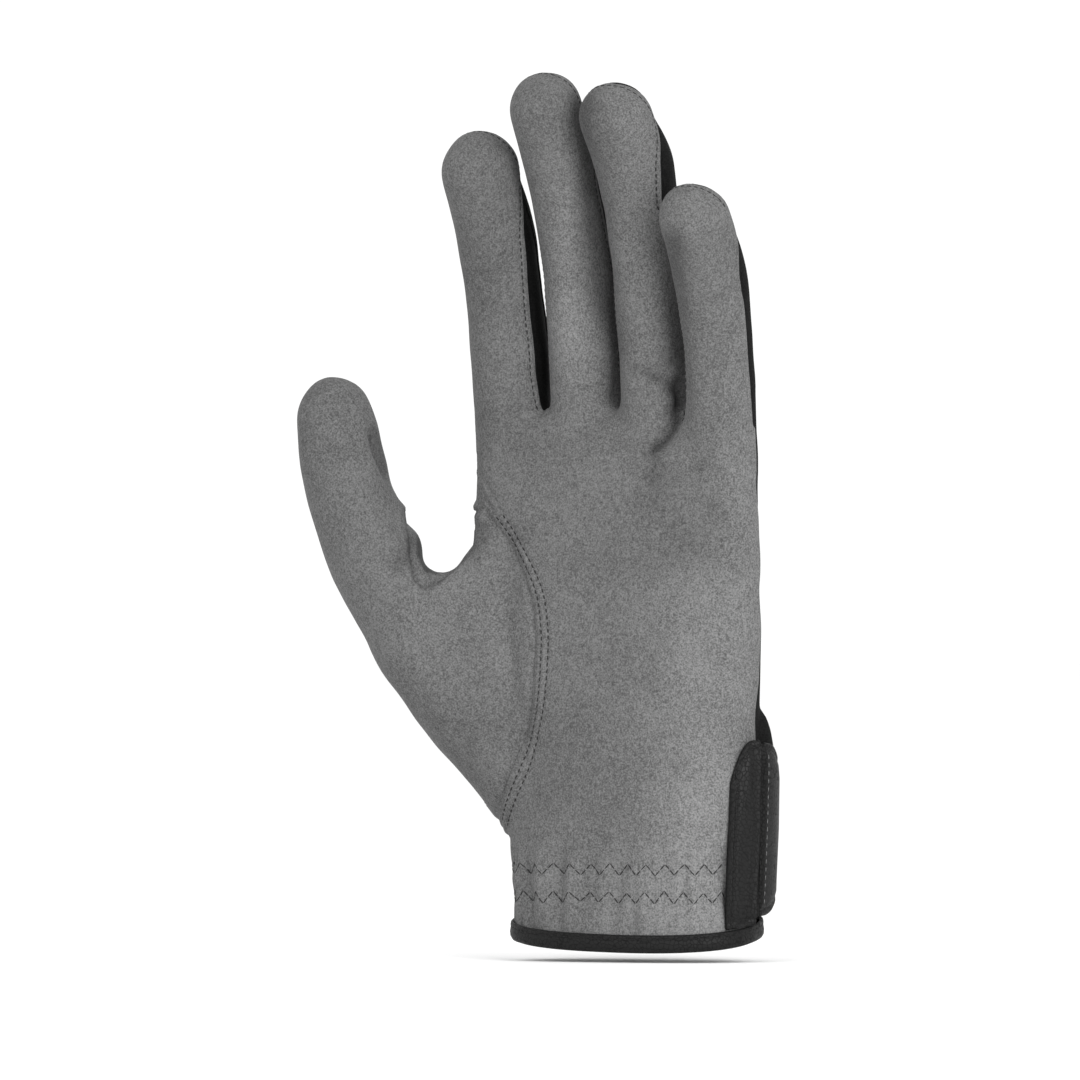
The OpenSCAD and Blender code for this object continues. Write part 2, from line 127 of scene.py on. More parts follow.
class Link:
    # A shader socket that can be used in sums.

    def __init__(self, maker, socket):
        self.maker, self.socket = maker, socket

    def math(self, operation, *others):
        return self.maker.node("ShaderNodeMath", {"operation": operation}, [self, *others])

    def __add__(self, other):
        return self.math("ADD", other)

    def __radd__(self, other):
        return self.math("ADD", other)

    def __sub__(self, other):
        return self.math("SUBTRACT", other)

    def __rsub__(self, other):
        return self.maker.node("ShaderNodeMath", {"operation": "SUBTRACT"}, [other, self])

    def __mul__(self, other):
        return self.math("MULTIPLY", other)

    def __rmul__(self, other):
        return self.math("MULTIPLY", other)

    def __pow__(self, other):
        return self.math("POWER", other)

    def smooth(self, low, high):
        return self.maker.node("ShaderNodeMapRange", {"interpolation_type": "SMOOTHSTEP"},
                               {"Value": self, "From Min": low, "From Max": high})


class Finish:
    # One material and the nodes that make it.

    def __init__(self, name, roughness, **fixed):
        self.mat = bpy.data.materials.new(name)
        self.mat.use_nodes = True
        self.tree = self.mat.node_tree
        self.shader = self.tree.nodes["Principled BSDF"]
        self.shader.inputs["Roughness"].default_value = roughness
        for key, value in fixed.items():
            self.shader.inputs[key.replace("_", " ")].default_value = value

    def node(self, kind, settings, inputs, output=0):
        n = self.tree.nodes.new(kind)
        for key, value in settings.items():
            if key == "stops":
                ramp = n.color_ramp
                while len(ramp.elements) < len(value):
                    ramp.elements.new(0.5)
                for element, (place, tone) in zip(ramp.elements, value):
                    element.position, element.color = place, (tone, tone, tone, 1.0)
            else:
                setattr(n, key, value)
        pairs = inputs.items() if isinstance(inputs, dict) else enumerate(inputs)
        for key, value in pairs:
            if isinstance(value, Link):
                self.tree.links.new(value.socket, n.inputs[key])
            elif value is not None:
                n.inputs[key].default_value = value
        return Link(self, n.outputs[output])

    def place(self):
        return self.node("ShaderNodeTexCoord", {}, {}, "Object")

    def stretched(self, vector, scale):
        return self.node("ShaderNodeVectorMath", {"operation": "MULTIPLY"}, [vector, scale])

    def grain(self, vector, scale, detail=2.0, rough=0.5, **more):
        return self.node("ShaderNodeTexNoise", {},
                         {"Vector": vector, "Scale": scale, "Detail": detail, "Roughness": rough, **more})

    def cells(self, vector, scale, feature="F1", **more):
        return self.node("ShaderNodeTexVoronoi", {"feature": feature},
                         {"Vector": vector, "Scale": scale, **more})

    def mixed(self, amount, a, b):
        return self.node("ShaderNodeMix", {"data_type": "RGBA"},
                         {"Factor": amount, 6: a, 7: b}, 2)

    def shade(self, colour, rough=None, height=None, bump=0.0, strength=1.0):
        self.tree.links.new(colour.socket, self.shader.inputs["Base Color"])
        if rough is not None:
            self.tree.links.new(rough.socket, self.shader.inputs["Roughness"])
        if height is not None:
            n = self.node("ShaderNodeBump", {}, {"Height": height, "Distance": bump, "Strength": strength})
            self.tree.links.new(n.socket, self.shader.inputs["Normal"])
        return self.mat


def grey(tone, warm=0.0):
    return (tone * (1 + warm), tone, tone * (1 - warm), 1.0)


suedeLook = {"dark": 0.046, "light": 0.151, "fleck": 0.00042, "cloud": 0.011}


def makeSuede(name):
    f = Finish(name, 0.95, Sheen_Weight=0.06, Sheen_Roughness=0.5, Specular_IOR_Level=0.1)
    p = f.place()
    fleck = f.grain(p, 1 / suedeLook["fleck"], 2.0, 0.62)
    nap = f.grain(f.stretched(p, (1.0, 1.0, 0.72)), 1 / (suedeLook["fleck"] * 2.3), 2.0, 0.6)
    cloud = f.grain(p, 1 / suedeLook["cloud"], 3.0, 0.55, Distortion=0.4)
    cloud2 = f.grain(p, 1 / (suedeLook["cloud"] * 3), 2.0, 0.5)
    mark = fleck * 0.60 + nap * 0.22 + cloud * 0.11 + cloud2 * 0.07
    cloth = f.mixed(mark.smooth(0.32, 0.68), grey(suedeLook["dark"]), grey(suedeLook["light"]))
    # painted light and shade: the form's 'shade' attribute lightens or darkens the suede's colour
    paintedShade = f.node("ShaderNodeAttribute", {"attribute_name": "shade"}, {}, "Fac")
    colour = f.node("ShaderNodeVectorMath", {"operation": "SCALE"}, {"Vector": cloth, "Scale": paintedShade + 1.0})
    pile = fleck * 0.7 + nap * 0.5
    return f.shade(colour, 0.88 + fleck * 0.12, pile, 0.00022, 0.55)


knitLook = {"tone": 0.0055, "rib": 0.00062, "sheen": 0.0}


def makeKnit(name, tone=1.0):
    f = Finish(name, 0.82, Sheen_Weight=knitLook["sheen"], Specular_IOR_Level=0.06)
    p = f.place()
    loops = f.cells(p, 1 / knitLook["rib"], "F1", Randomness=0.6)
    cloud = f.grain(p, 90.0, 3.0, 0.5)
    level = loops * 0.7 + cloud * 0.3
    dark, light = grey(knitLook["tone"] * tone * 0.55), grey(knitLook["tone"] * tone * 1.7)
    colour = f.mixed(level.smooth(0.2, 0.8), dark, light)
    return f.shade(colour, 0.74 + cloud * 0.18, loops, 0.00014, 0.6)


leatherLook = {"tone": 0.0062, "pebble": 0.0011, "crease": 0.006}


def makeLeather(name, tone=1.0, rough=0.42):
    f = Finish(name, rough, Specular_IOR_Level=0.13)
    p = f.place()
    pebble = f.cells(p, 1 / leatherLook["pebble"], "DISTANCE_TO_EDGE", Randomness=0.9)
    crease = f.grain(f.stretched(p, (1.0, 1.0, 0.35)), 1 / leatherLook["crease"], 4.0, 0.6, Distortion=0.8)
    cloud = f.grain(p, 60.0, 2.0, 0.5)
    seams = pebble.smooth(0.0, 0.12)
    level = seams * 0.5 + crease * 0.3 + cloud * 0.2
    dark, light = grey(leatherLook["tone"] * tone * 0.6), grey(leatherLook["tone"] * tone * 1.5)
    colour = f.mixed(level.smooth(0.25, 0.85), dark, light)
    dullness = rough - 0.08 + (1 - seams) * 0.2 + cloud * 0.14
    return f.shade(colour, dullness, seams * 0.35 + crease * 0.9, 0.00028, 0.7)


def makeThread(name, tone):
    f = Finish(name, 0.7, Specular_IOR_Level=0.15)
    p = f.place()
    twist = f.node("ShaderNodeTexWave", {"wave_type": "BANDS", "bands_direction": "DIAGONAL"},
                   {"Vector": p, "Scale": 900.0, "Distortion": 1.0, "Detail": 1.0})
    fuzz = f.grain(p, 2600.0, 2.0, 0.6)
    level = twist * 0.65 + fuzz * 0.35
    colour = f.mixed(level, grey(tone * 0.55), grey(tone * 1.5))
    return f.shade(colour, 0.62 + fuzz * 0.2, level, 0.00006, 0.6)


def makeElastic(name):
    f = Finish(name, 0.85, Sheen_Weight=0.1)
    p = f.place()
    cords = f.node("ShaderNodeTexWave", {"wave_type": "BANDS", "bands_direction": "Z"},
                   {"Vector": p, "Scale": 300.0, "Distortion": 0.4, "Detail": 1.0})
    weave = f.grain(p, 1800.0, 2.0, 0.6)
    colour = f.mixed(cords * 0.6 + weave * 0.4, grey(0.30, 0.02), grey(0.62, 0.02))
    return f.shade(colour, 0.78 + weave * 0.15, cords, 0.0003, 0.7)


def makePile(name, tone, scale, height):
    f = Finish(name, 0.88, Sheen_Weight=0.2, Specular_IOR_Level=0.25)
    p = f.place()
    tuft = f.cells(p, scale, "F1", Randomness=0.8)
    fuzz = f.grain(p, scale * 2.2, 3.0, 0.7)
    level = tuft * 0.6 + fuzz * 0.5
    colour = f.mixed(level.smooth(0.15, 0.8), grey(tone * 1.7), grey(tone * 0.5))
    return f.shade(colour, 0.8 + fuzz * 0.15, 1 - level, height, 0.8)


finishes = {
    "suede": makeSuede("softSuede"),
    "knit": makeKnit("stretchKnit"),
    "mesh": makeKnit("sideKnit", 0.85),
    "binding": makeLeather("bindingLeather", 1.1, 0.5),
    "strap": makeLeather("strapLeather", 1.15, 0.4),
    # painted shade: a darker copy of the strap's leather, for the closure strap that the key lamp lights
    # brightly
    "shadedStrap": makeLeather("wrapLeather", 0.5, 0.46),
    "thread": makeThread("darkThread", 0.02),
    "blackThread": makeThread("blackThread", 0.012),
    "paleThread": makeThread("paleThread", 0.13),
    "elastic": makeElastic("wovenElastic"),
    "lining": makeKnit("strapLining", 1.4),
    "hook": makePile("hookTape", 0.014, 900.0, 0.0004),
    "loop": makePile("loopPile", 0.011, 1300.0, 0.0003),
}
print("finishes made", flush=True)

# The hand's sections

palm = {
    "rows": np.array([  # height, centre, half width, half depth, arch
        [-12, 0, 31.8, 19.5, 0], [0, 0, 31.8, 19.5, 0], [14, 0, 31.6, 19, 0], [30, 0.2, 32.6, 18.4, 0.5],
        [60, -1.0, 34.6, 16.6, 1.5], [90, -2.1, 36.9, 14.8, 3], [108, -3.5, 37.6, 13.4, 4],
        [120, -4.2, 37.0, 11.8, 4.4], [127, -4.4, 35.8, 8.8, 4.6], [130.5, -4.6, 34, 5, 4.6]]),
    "power": 2.35, "sideSeam": 0.4,
}
cuffEdge = {"rise": 3.2, "lean": 0.9, "halfWidth": 31.8, "halfDepth": 19.5}
fingerNames = ["index", "middle", "ring", "little"]
stallNames = [*fingerNames, "thumb"]
fingers = {  # axis start, fingertip centre, half widths, half depths, knuckle height, curl
    "index": ((-33.2, -1, 104), (-34.3, -19.5, 191.3), (9.5, 10.1, 9.3), (10.2, 10.4, 9.6), 154, 2.8),
    "middle": ((-13.2, 1.2, 104), (-14.2, -22.5, 205.6), (8.9, 9.1, 9.0), (10.2, 10.2, 9.6), 158, 2.8),
    "ring": ((5.8, 0, 104), (5.8, -24.5, 203.5), (8.8, 9.4, 9.4), (10.2, 10.2, 9.6), 157, 4.0),
    "little": ((24.9, -2.8, 104), (27.2, -24.6, 178.6), (8.7, 9.1, 8.6), (9.6, 9.6, 9.0), 147, 3.2),
}
thumbPath = [  # axis point, half width, half depth
    (-22.5, 0, 30, 12, 13), (-33.5, -4, 46.5, 14.2, 14.5), (-45.3, -8, 61.8, 14.6, 14.0),
    (-56.6, -12, 77.5, 13.9, 13.0), (-65.2, -15, 94, 12.5, 12.0), (-70.3, -17, 108, 11.4, 11.0),
    (-73.2, -18, 118.5, 10.9, 10.4), (-74.6, -19, 128.5, 10.3, 9.8)]
thumb = {"roll": 38.0, "knuckleRow": 5, "bendReach": 8.0}
bendReach = 9.0  # how far each side of a knuckle the cloth takes to bend


def palmRow(z):
    r = palm["rows"]
    return [np.interp(z, r[:, 0], r[:, k]) for k in range(1, 5)]


def palmPoint(z, degrees, off=0.0):
    cx, a, b, arch = palmRow(z)
    e = 2 / palm["power"]
    c, s = math.cos(math.radians(degrees)), math.sin(math.radians(degrees))
    u, v = math.copysign(abs(c) ** e, c), math.copysign(abs(s) ** e, s)
    return Vector((cx + (a + off) * u, (b + off) * v - arch * u * u, z))


def edgeHeight(degrees, off=0.0):
    p = palmPoint(0, degrees, off)
    return cuffEdge["rise"] * p.y / cuffEdge["halfDepth"] - cuffEdge["lean"] * p.x / cuffEdge["halfWidth"]


def unit(v):
    return v / np.maximum(np.linalg.norm(v, axis=-1, keepdims=True), 1e-9)


class Tube:
    # The line down the middle of a finger or the thumb, with its section at each point.

    def __init__(self, centres, halfWidths, halfDepths, roll=0.0):
        c = np.array(centres, float)
        way = unit(np.gradient(c, axis=0))
        tip = 14
        extra = np.arange(1, tip + 1)[:, None] * way[-1]
        self.tipIndex = len(c) - 1
        c = np.vstack([c, c[-1] + extra])
        way = np.vstack([way, np.repeat(way[-1:], tip, axis=0)])
        side = unit(np.cross([0.0, 1.0, 0.0], way))
        turn = math.radians(roll)
        ea = side * math.cos(turn) + np.cross(way, side) * math.sin(turn)
        self.centre, self.way, self.ea, self.eb = c, way, ea, np.cross(way, ea)
        self.a = np.concatenate([halfWidths, np.full(tip, halfWidths[-1])])
        self.b = np.concatenate([halfDepths, np.full(tip, halfDepths[-1])])

    def locate(self, points):
        # Angle round the tube, distance over the section's size, height on its line, and distance.
        near = np.empty(len(points), int)
        for k in range(0, len(points), 20000):
            d = points[k:k + 20000, None, :] - self.centre[None]
            near[k:k + 20000] = (d * d).sum(2).argmin(1)
        d = points - self.centre[near]
        x, y, ahead = ((d * axis[near]).sum(1) for axis in (self.ea, self.eb, self.way))
        size = np.hypot(x / self.a[near], y / self.b[near])
        height = self.centre[near, 2] + ahead * self.way[near, 2]
        return np.degrees(np.arctan2(y, x)), size, height, np.hypot(x, y)

    def frameAt(self, height):
        k = int(np.argmin(np.abs(self.centre[:self.tipIndex + 1, 2] - height)))
        return self.centre[k], self.way[k]

    def rings(self, grow, start, step, segments):
        picked = list(range(start, self.tipIndex, step)) + [self.tipIndex]
        angles = np.linspace(0, 2 * np.pi, segments, endpoint=False)
        out = []

        def ring(c, ea, eb, a, b):
            out.append(c + np.outer(np.cos(angles) * a, ea) + np.outer(np.sin(angles) * b, eb))
        for k in picked:
            ring(self.centre[k], self.ea[k], self.eb[k], self.a[k] + grow, self.b[k] + grow)
        k = self.tipIndex
        a, b = self.a[k] + grow, self.b[k] + grow
        for j in range(1, 8):
            q = math.radians(85 * j / 7)
            ring(self.centre[k] + self.way[k] * (a + b) / 2 * math.sin(q), self.ea[k], self.eb[k],
                 a * math.cos(q), b * math.cos(q))
        return out


def fingerTube(name):
    start, end, widths, depths, _, curl = fingers[name]
    t = np.linspace(0, 1, 61)
    c = np.stack([start[0] + (end[0] - start[0]) * t, start[1] + (end[1] - start[1]) * t ** curl,
                  start[2] + (end[2] - start[2]) * t], axis=1)
    at = [0, 0.5, 1]
    return Tube(c, np.interp(t, at, widths), np.interp(t, at, depths))


def thumbTube():
    rows = np.array(thumbPath, float)
    k = np.linspace(0, len(rows) - 1, 64)
    smooth = np.stack([np.interp(k, range(len(rows)), rows[:, j]) for j in range(5)], axis=1)
    for _ in range(6):  # rounds the corners of the path
        smooth[1:-1, :3] = (smooth[:-2, :3] + 2 * smooth[1:-1, :3] + smooth[2:, :3]) / 4
    return Tube(smooth[:, :3], smooth[:, 3], smooth[:, 4], thumb["roll"])


tubes = {name: fingerTube(name) for name in fingerNames}
tubes["thumb"] = thumbTube()


def bendLine(name):
    # Where the cloth of a stall starts and ends bending.
    if name == "thumb":
        c = np.array(thumbPath[thumb["knuckleRow"]][:3], float)
        lo, hi = (np.array(thumbPath[thumb["knuckleRow"] + s][:3], float) for s in (-1, 1))
        way, reach = unit(hi - lo), thumb["bendReach"]
    else:
        c, way = tubes[name].frameAt(fingers[name][4])
        reach = bendReach
    return c - way * reach, c + way * reach


# Bmesh helpers


workLayers = {"front", "back", "side", "strip", "thumb", "ring", "frontPalm", "web", "slit", "owner",
              "across", "wall", "keep0", "keep1", "keep2", "profilePlace", *["out" + c for c in "XYZ"],
              *["normal" + c for c in "XYZ"],
              *["bend" + n for n in stallNames]}


def newLayer(bm, name):
    return bm.verts.layers.float.get(name) or bm.verts.layers.float.new(name)


def loftInto(bm, rings):
    loops = []
    for ring in rings:
        made = bmesh.ops.create_circle(bm, cap_ends=False, segments=len(ring), radius=1.0)["verts"]
        for v, co in zip(made, ring):
            v.co = co
        loops.append(list({e for v in made for e in v.link_edges}))
    for a, b in zip(loops, loops[1:]):
        bmesh.ops.bridge_loops(bm, edges=a + b)
    for end in (loops[0], loops[-1]):
        bmesh.ops.contextual_create(bm, geom=end)


def coordinates(mesh):
    co = np.empty(len(mesh.vertices) * 3)
    mesh.vertices.foreach_get("co", co)
    return co.reshape(-1, 3)


def vertexNormals(mesh):
    n = np.empty(len(mesh.vertices) * 3, np.float32)
    mesh.vertex_normals.foreach_get("vector", n)
    return n.reshape(-1, 3).astype(float)


def smoothStep(x, low, high):
    t = np.clip((np.asarray(x, float) - low) / (high - low), 0, 1)
    return t * t * (3 - 2 * t)


def cutAlong(bm, layer):
    # Cuts the faces where the layer's number is nought.
    crossing = [e for e in bm.edges if (e.verts[0][layer] > 0) != (e.verts[1][layer] > 0)]
    made = []
    for e in crossing:
        a = e.verts[0]
        fa, fb = a[layer], e.verts[1][layer]
        share = min(max(fa / (fa - fb), 0.03), 0.97)
        made.append(bmesh.utils.edge_split(e, a, share)[1])
    for v in made:
        v[layer] = 0.0
    bmesh.ops.connect_verts(bm, verts=made)


def keepWhere(bm, layer):
    cutAlong(bm, layer)
    drop = [f for f in bm.faces if sum(v[layer] for v in f.verts) < 0]
    bmesh.ops.delete(bm, geom=drop, context="FACES")


def finishPiece(bm, name, finish, body=None):
    # Makes the bmesh an object of its own, in metres.
    bmesh.ops.scale(bm, vec=(1 / perMetre,) * 3, verts=bm.verts)
    mesh = bpy.data.meshes.new(name)
    bm.to_mesh(mesh)
    bm.free()
    for spare in [a.name for a in mesh.attributes if a.name in workLayers]:
        mesh.attributes.remove(mesh.attributes[spare])
    mesh.polygons.foreach_set("use_smooth", [True] * len(mesh.polygons))
    mesh.materials.append(finishes[finish])
    piece = bpy.data.objects.new(name, mesh)
    bpy.context.scene.collection.objects.link(piece)
    if body:
        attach(piece, body)
    return piece


def fittedPiece(bm, name, finish, body, node):
    # A piece that stands for one node of the frame.
    piece = finishPiece(bm, name, finish, body)
    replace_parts(piece, node)
    return piece


# The form that every panel is cut from

form = {
    "grow": -0.5, "voxel": 0.82, "quickVoxel": 1.3, "smoothing": 5, "crotchSmoothing": 12,
    "webBalls": [((-37, -4.5, 94), 8.2), ((-59, -12, 75), 10.0), ((-37, -5, 60), 12.0)],
    "wristBulge": ((30.0, 6.0, 42), (4.2, 5.5, 14.5)),
    "ripple": [(26.0, 0.55), (9.0, 0.16)],  # size and height of the cloth's own unevenness
    "gather": {"top": 27.0, "height": 1.0, "spacing": 4.6},
}
# Small corrections of the stuffed shape: finger, across the view, height, reach across and up, push outwards.
nudges = [
    ("index", -26.8, 174, 4, 13, 1.3), ("index", -48, 196, 6, 7, -0.7), ("index", -28, 194, 4, 4, 0.5),
    ("middle", -30.5, 190, 3, 14, -0.6), ("middle", -23, 215, 9, 4, -0.5), ("middle", -14, 208, 4, 6, -0.5),
    ("ring", -4, 213, 9, 4, -0.5), ("ring", 7.5, 196, 4, 10, 1.5), ("ring", -12, 207, 3, 6, -0.5),
    ("little", 26.5, 169, 4, 15, 1.1), ("little", 18, 187, 8, 3, -0.4),
    ("thumb", -78.5, 138, 5, 4, 0.9), ("thumb", -66.2, 132.5, 5, 5, -1.0), ("thumb", -63.5, 122, 4, 6, -0.6),
    ("thumb", -60.8, 112, 5, 7, -2.0), ("thumb", -56.0, 103.5, 4, 5, -1.2),
    ("thumb", -69.3, 74.5, 7, 13, -1.3), ("thumb", -59, 57, 6, 10, -0.6), ("thumb", -42, 38, 6, 10, -0.5),
    (None, -47.5, 95, 5, 5, -2.6), (None, -43.5, 98, 4, 4, -1.2), ("thumb", -50, 94, 4, 5, -1.6),
    (None, -39.5, 103, 3, 5, 1.2), (None, -31.5, 18, 5, 8, 0.8),
    (None, 30.5, 78, 4, 24, 0.4), ("little", 30, 133, 4, 14, -0.4),
]
# Painted light and shade on the suede, lighter and darker patches: across the view, height, reaches, change
# of tone.
paintedLightAndShade = [
    (17, 27, 14, 44, 0.46), (0, 6, 30, 22, 0.16), (30, 118, 8, 52, 0.22), (13, 82, 13, 12, 0.16),
    (-62, 100, 10, 40, -0.02), (-35, 76, 18, 22, 0.10), (-56, 80, 9, 14, 0.08),
    (-17, 180, 4, 24, 0.20), (-17, 150, 5, 18, 0.24), (0, 184, 5, 30, 0.18), (-41, 170, 14, 30, -0.10),
    (11.5, 97, 7, 8, -0.17), (5.5, 112, 5, 9, -0.10), (-2, 92, 10, 8, -0.06), (-57, 66, 9, 16, -0.05),
    (-43, 47, 8, 18, -0.10), (-38, 95, 5, 4, -0.05), (18, 62, 16, 9, 0.10), (-22, 204, 8, 7, -0.10),
    (-30, 128, 16, 10, -0.10), (22, 50, 5, 5, -0.07),
]
# Painted shade along lines, in folds and on the fingers' shaded sides: points as across the view and height,
# half width, change of tone.
shadows = [
    ([(-13.5, 208), (-12.6, 186), (-9.0, 166), (-5.8, 148)], 3.3, -0.42),
    ([(-15.0, 176), (-13.5, 164), (-9.5, 155)], 3.0, -0.16),
    ([(8.6, 172), (9.8, 158), (9.6, 143)], 3.2, -0.36),
    ([(10.2, 138), (10.8, 132.5), (8.6, 126.5), (4.6, 120.5)], 1.5, -0.46),
    ([(0.0, 141.2), (4.4, 139.0), (8.0, 137.0), (10.5, 133)], 1.2, -0.26),
    ([(-8.5, 142), (-8.6, 134)], 1.5, -0.12),
    ([(4.5, 120.5), (4.0, 114)], 1.8, -0.15),
    ([(-37.4, 101.5), (-38.6, 97.5), (-41.0, 94.2)], 1.5, -0.26),
    ([(-59.8, 91.8), (-56.6, 98.0)], 2.2, -0.30),
    ([(-60.5, 86.6), (-57.4, 86.0)], 0.7, -0.20),
    ([(-41.0, 196.5), (-39.5, 190)], 1.2, -0.08),
    ([(-26, 187.6), (-19, 188.4)], 0.9, -0.10),
    ([(24, 163), (19, 158)], 2.0, -0.08),
]
# painted shadows: in the fold on the thumb's side and inside the opening of the web
shadedAreas = [  # outline as across the view and height, change of tone
    ([(-67.4, 126.6), (-66.4, 127.4), (-64.2, 124.6), (-62.6, 120.3), (-61.6, 113.4), (-63.7, 116.4),
      (-65.6, 120.0), (-67.1, 124.4)], -0.34),
    ([(-54.8, 99.9), (-53.4, 99.5), (-49.9, 91.0), (-52.6, 90.4), (-54.9, 95.0)], -0.66),
]
# Folds in the palm: points as across the view and height, depth, half width.
folds = [
    ([(10.2, 140), (10.8, 133), (8.8, 126.5), (4.4, 120)], 2.6, 2.2),
    ([(1.2, 140.5), (5.5, 138.3), (9.0, 134.5)], 1.0, 2.0),
    ([(-4.9, 146), (-5.4, 138), (-6.4, 131.5)], 0.9, 1.3),
    ([(18.5, 108), (17.5, 101), (11.5, 94.5)], 1.1, 5.0),
    ([(7.5, 118), (2.0, 110), (-6.0, 104)], 0.8, 5.5),
    ([(-12.0, 196), (-10.6, 178), (-8.8, 160), (-7.2, 148)], 0.9, 3.2),
    ([(8.0, 178), (9.5, 160), (9.6, 148)], 0.7, 2.8),
    ([(-33.0, 104), (-31.5, 96), (-30.5, 88), (-31, 80)], 1.3, 2.6),
    ([(-56.5, 84.5), (-62.0, 82.0), (-68, 82.5)], 0.9, 2.4),
    ([(25.0, 161), (18.5, 157), (15.0, 158)], 0.6, 1.8),
    ([(26.0, 150), (20.0, 147.5), (16.0, 149)], 0.5, 1.8),
    ([(-34.0, 165), (-39.0, 163.5), (-43.0, 166)], 0.45, 2.4),
    ([(-6.0, 70), (4.0, 58), (18, 50)], 0.7, 6.0),
    ([(20.0, 84), (10.0, 74), (4.0, 72)], -0.6, 6.0),
    ([(-67.6, 127), (-67.1, 124.5), (-65.6, 119.8), (-63.8, 116.3), (-61.6, 112.6)], 1.2, 0.8),
    ([(-35.0, 44), (-30.0, 50), (-27.0, 60)], 0.5, 4.0),
]
zigzag = {"rows": (9.3, 16.3), "rise": 1.45, "pitch": 5.1, "from": -172.0, "to": -27.5}
thumbSeam = {"centre": (-89.2, 69.4), "radius": 68.4, "rows": (1.6, 3.6),
             "back": [(-40, 22), (-33.6, 29.5), (-33.4, 40), (-35.5, 70), (-38.5, 90), (-41.5, 103),
                      (-41.5, 125)]}
# Edge of the thumb piece over the web, as across the view and height.
webLap = [(-38.2, 106.7), (-39.0, 104.3), (-39.5, 100.6), (-41.0, 97.0), (-42.8, 94.2), (-46.7, 89.9),
          (-49.6, 87.3), (-51.8, 86.2), (-53.7, 86.0), (-56.0, 88.0), (-57.3, 94.8), (-58.2, 112),
          (-37.5, 113)]
slit = [(1, -20), (1.4, 4), (4, 56), (4.8, 57.6), (6, 58), (7.2, 57.6), (8, 56), (10.6, 4), (11, -20)]
crotches = {"across": [-23.6, -4.0, 15.6], "front": [127.2, 131.0, 126.5], "back": 124.5}
gusset = {"indexEdge": 94.0, "littleEdge": 77.0,
          "left": {"index": 0.0, "middle": 27.0, "ring": 27.0, "little": 27.0},
          "right": {"index": 27.0, "middle": 9.0, "ring": 10.0, "little": 0.0},
          "overTip": {"index": 3.8, "middle": 3.6, "ring": 3.4, "little": 3.4},
          # how far the strips left and right of a finger are covered at the crotch, and how high above it
          "leftCover": 2.6, "rightCover": 1.9, "slimCover": 0.8, "slim": 20, "coverHeight": 13, "girth": 9.4}


def gussetAngles(name, height):
    # Half angles of the side strips left and right of a finger, and how far the suede has run over the tip.
    knuckle, tip = fingers[name][4], fingers[name][1][2]
    u = np.clip((height - knuckle) / (tip - knuckle), 0, 1)
    taper = 1 - u ** 1.6
    over = gusset["overTip"][name] * smoothStep(u, 0.55, 1.0)
    return gusset["left"][name] * taper, gusset["right"][name] * taper, over


def seamTurn(name, height):
    # How far the right-hand seam of a finger is turned towards the back of the hand.
    if name == "index":
        return 20 * smoothStep(height, 184, 192)
    if name == "middle":
        return 21 - 6 * smoothStep(height, 165, 178)
    if name == "ring":
        return 22 - 46 * smoothStep(height, 171, 184) + 32 * smoothStep(height, 193, 206)
    return -6 + 20 * smoothStep(height, 162, 178) + 10 * (1 - smoothStep(height, 118, 142))


def suedeEdges(name, height):
    left, right, over = gussetAngles(name, height)
    leftEdge = gusset["indexEdge"] if name == "index" else 90 - left
    middle = gusset["littleEdge"] + 6 if name == "little" else 90
    return leftEdge, middle - right + seamTurn(name, height), over


def crotchCover(name, onRight, height, crotch):
    # How far the suede covers the side strip of a finger near the crotch.
    right = gusset["slimCover"] if gusset["right"][name] < gusset["slim"] else gusset["rightCover"]
    fade = 1 - np.clip((height - crotch) / gusset["coverHeight"], 0, 1)
    return np.where(onRight, right, gusset["leftCover"]) * fade ** 1.3


def lineDistance(x, y, line):
    # Distance from points to a chain of straight lines, and the share of the chain passed at the nearest.
    line = np.array(line, float)
    best, share = np.full(len(x), 1e9), np.zeros(len(x))
    lengths = np.hypot(*(line[1:] - line[:-1]).T)
    passed = np.concatenate([[0], np.cumsum(lengths)])
    for k in range(len(line) - 1):
        (ax, ay), (bx, by) = line[k], line[k + 1]
        t = np.clip(((x - ax) * (bx - ax) + (y - ay) * (by - ay)) / lengths[k] ** 2, 0, 1)
        d = np.hypot(x - ax - t * (bx - ax), y - ay - t * (by - ay))
        closer = d < best
        best = np.where(closer, d, best)
        share = np.where(closer, (passed[k] + t * lengths[k]) / passed[-1], share)
    return best, share


def insidePolygon(x, y, outline):
    # Signed distance from an outline: above nought inside.
    pts = np.array(outline, float)
    d, _ = lineDistance(x, y, np.vstack([pts, pts[:1]]))
    inside = np.zeros(len(x), bool)
    for (ax, ay), (bx, by) in zip(pts, np.roll(pts, -1, axis=0)):
        crosses = ((ay > y) != (by > y)) & (x < (bx - ax) * (y - ay) / np.where(by == ay, 1e-9, by - ay) + ax)
        inside ^= crosses
    return np.where(inside, d, -d)


def lineSide(x, y, line):
    # Signed distance from a rising line in x and height: above nought towards -x.
    d, _ = lineDistance(x, y, line)
    pts = np.array(line, float)
    at = np.interp(y, pts[:, 1], pts[:, 0])
    return np.where(x < at, d, -d)


def even(bm, verts, times):
    for _ in range(times):
        bmesh.ops.smooth_vert(bm, verts=verts, factor=0.5, use_axis_x=True, use_axis_y=True, use_axis_z=True)


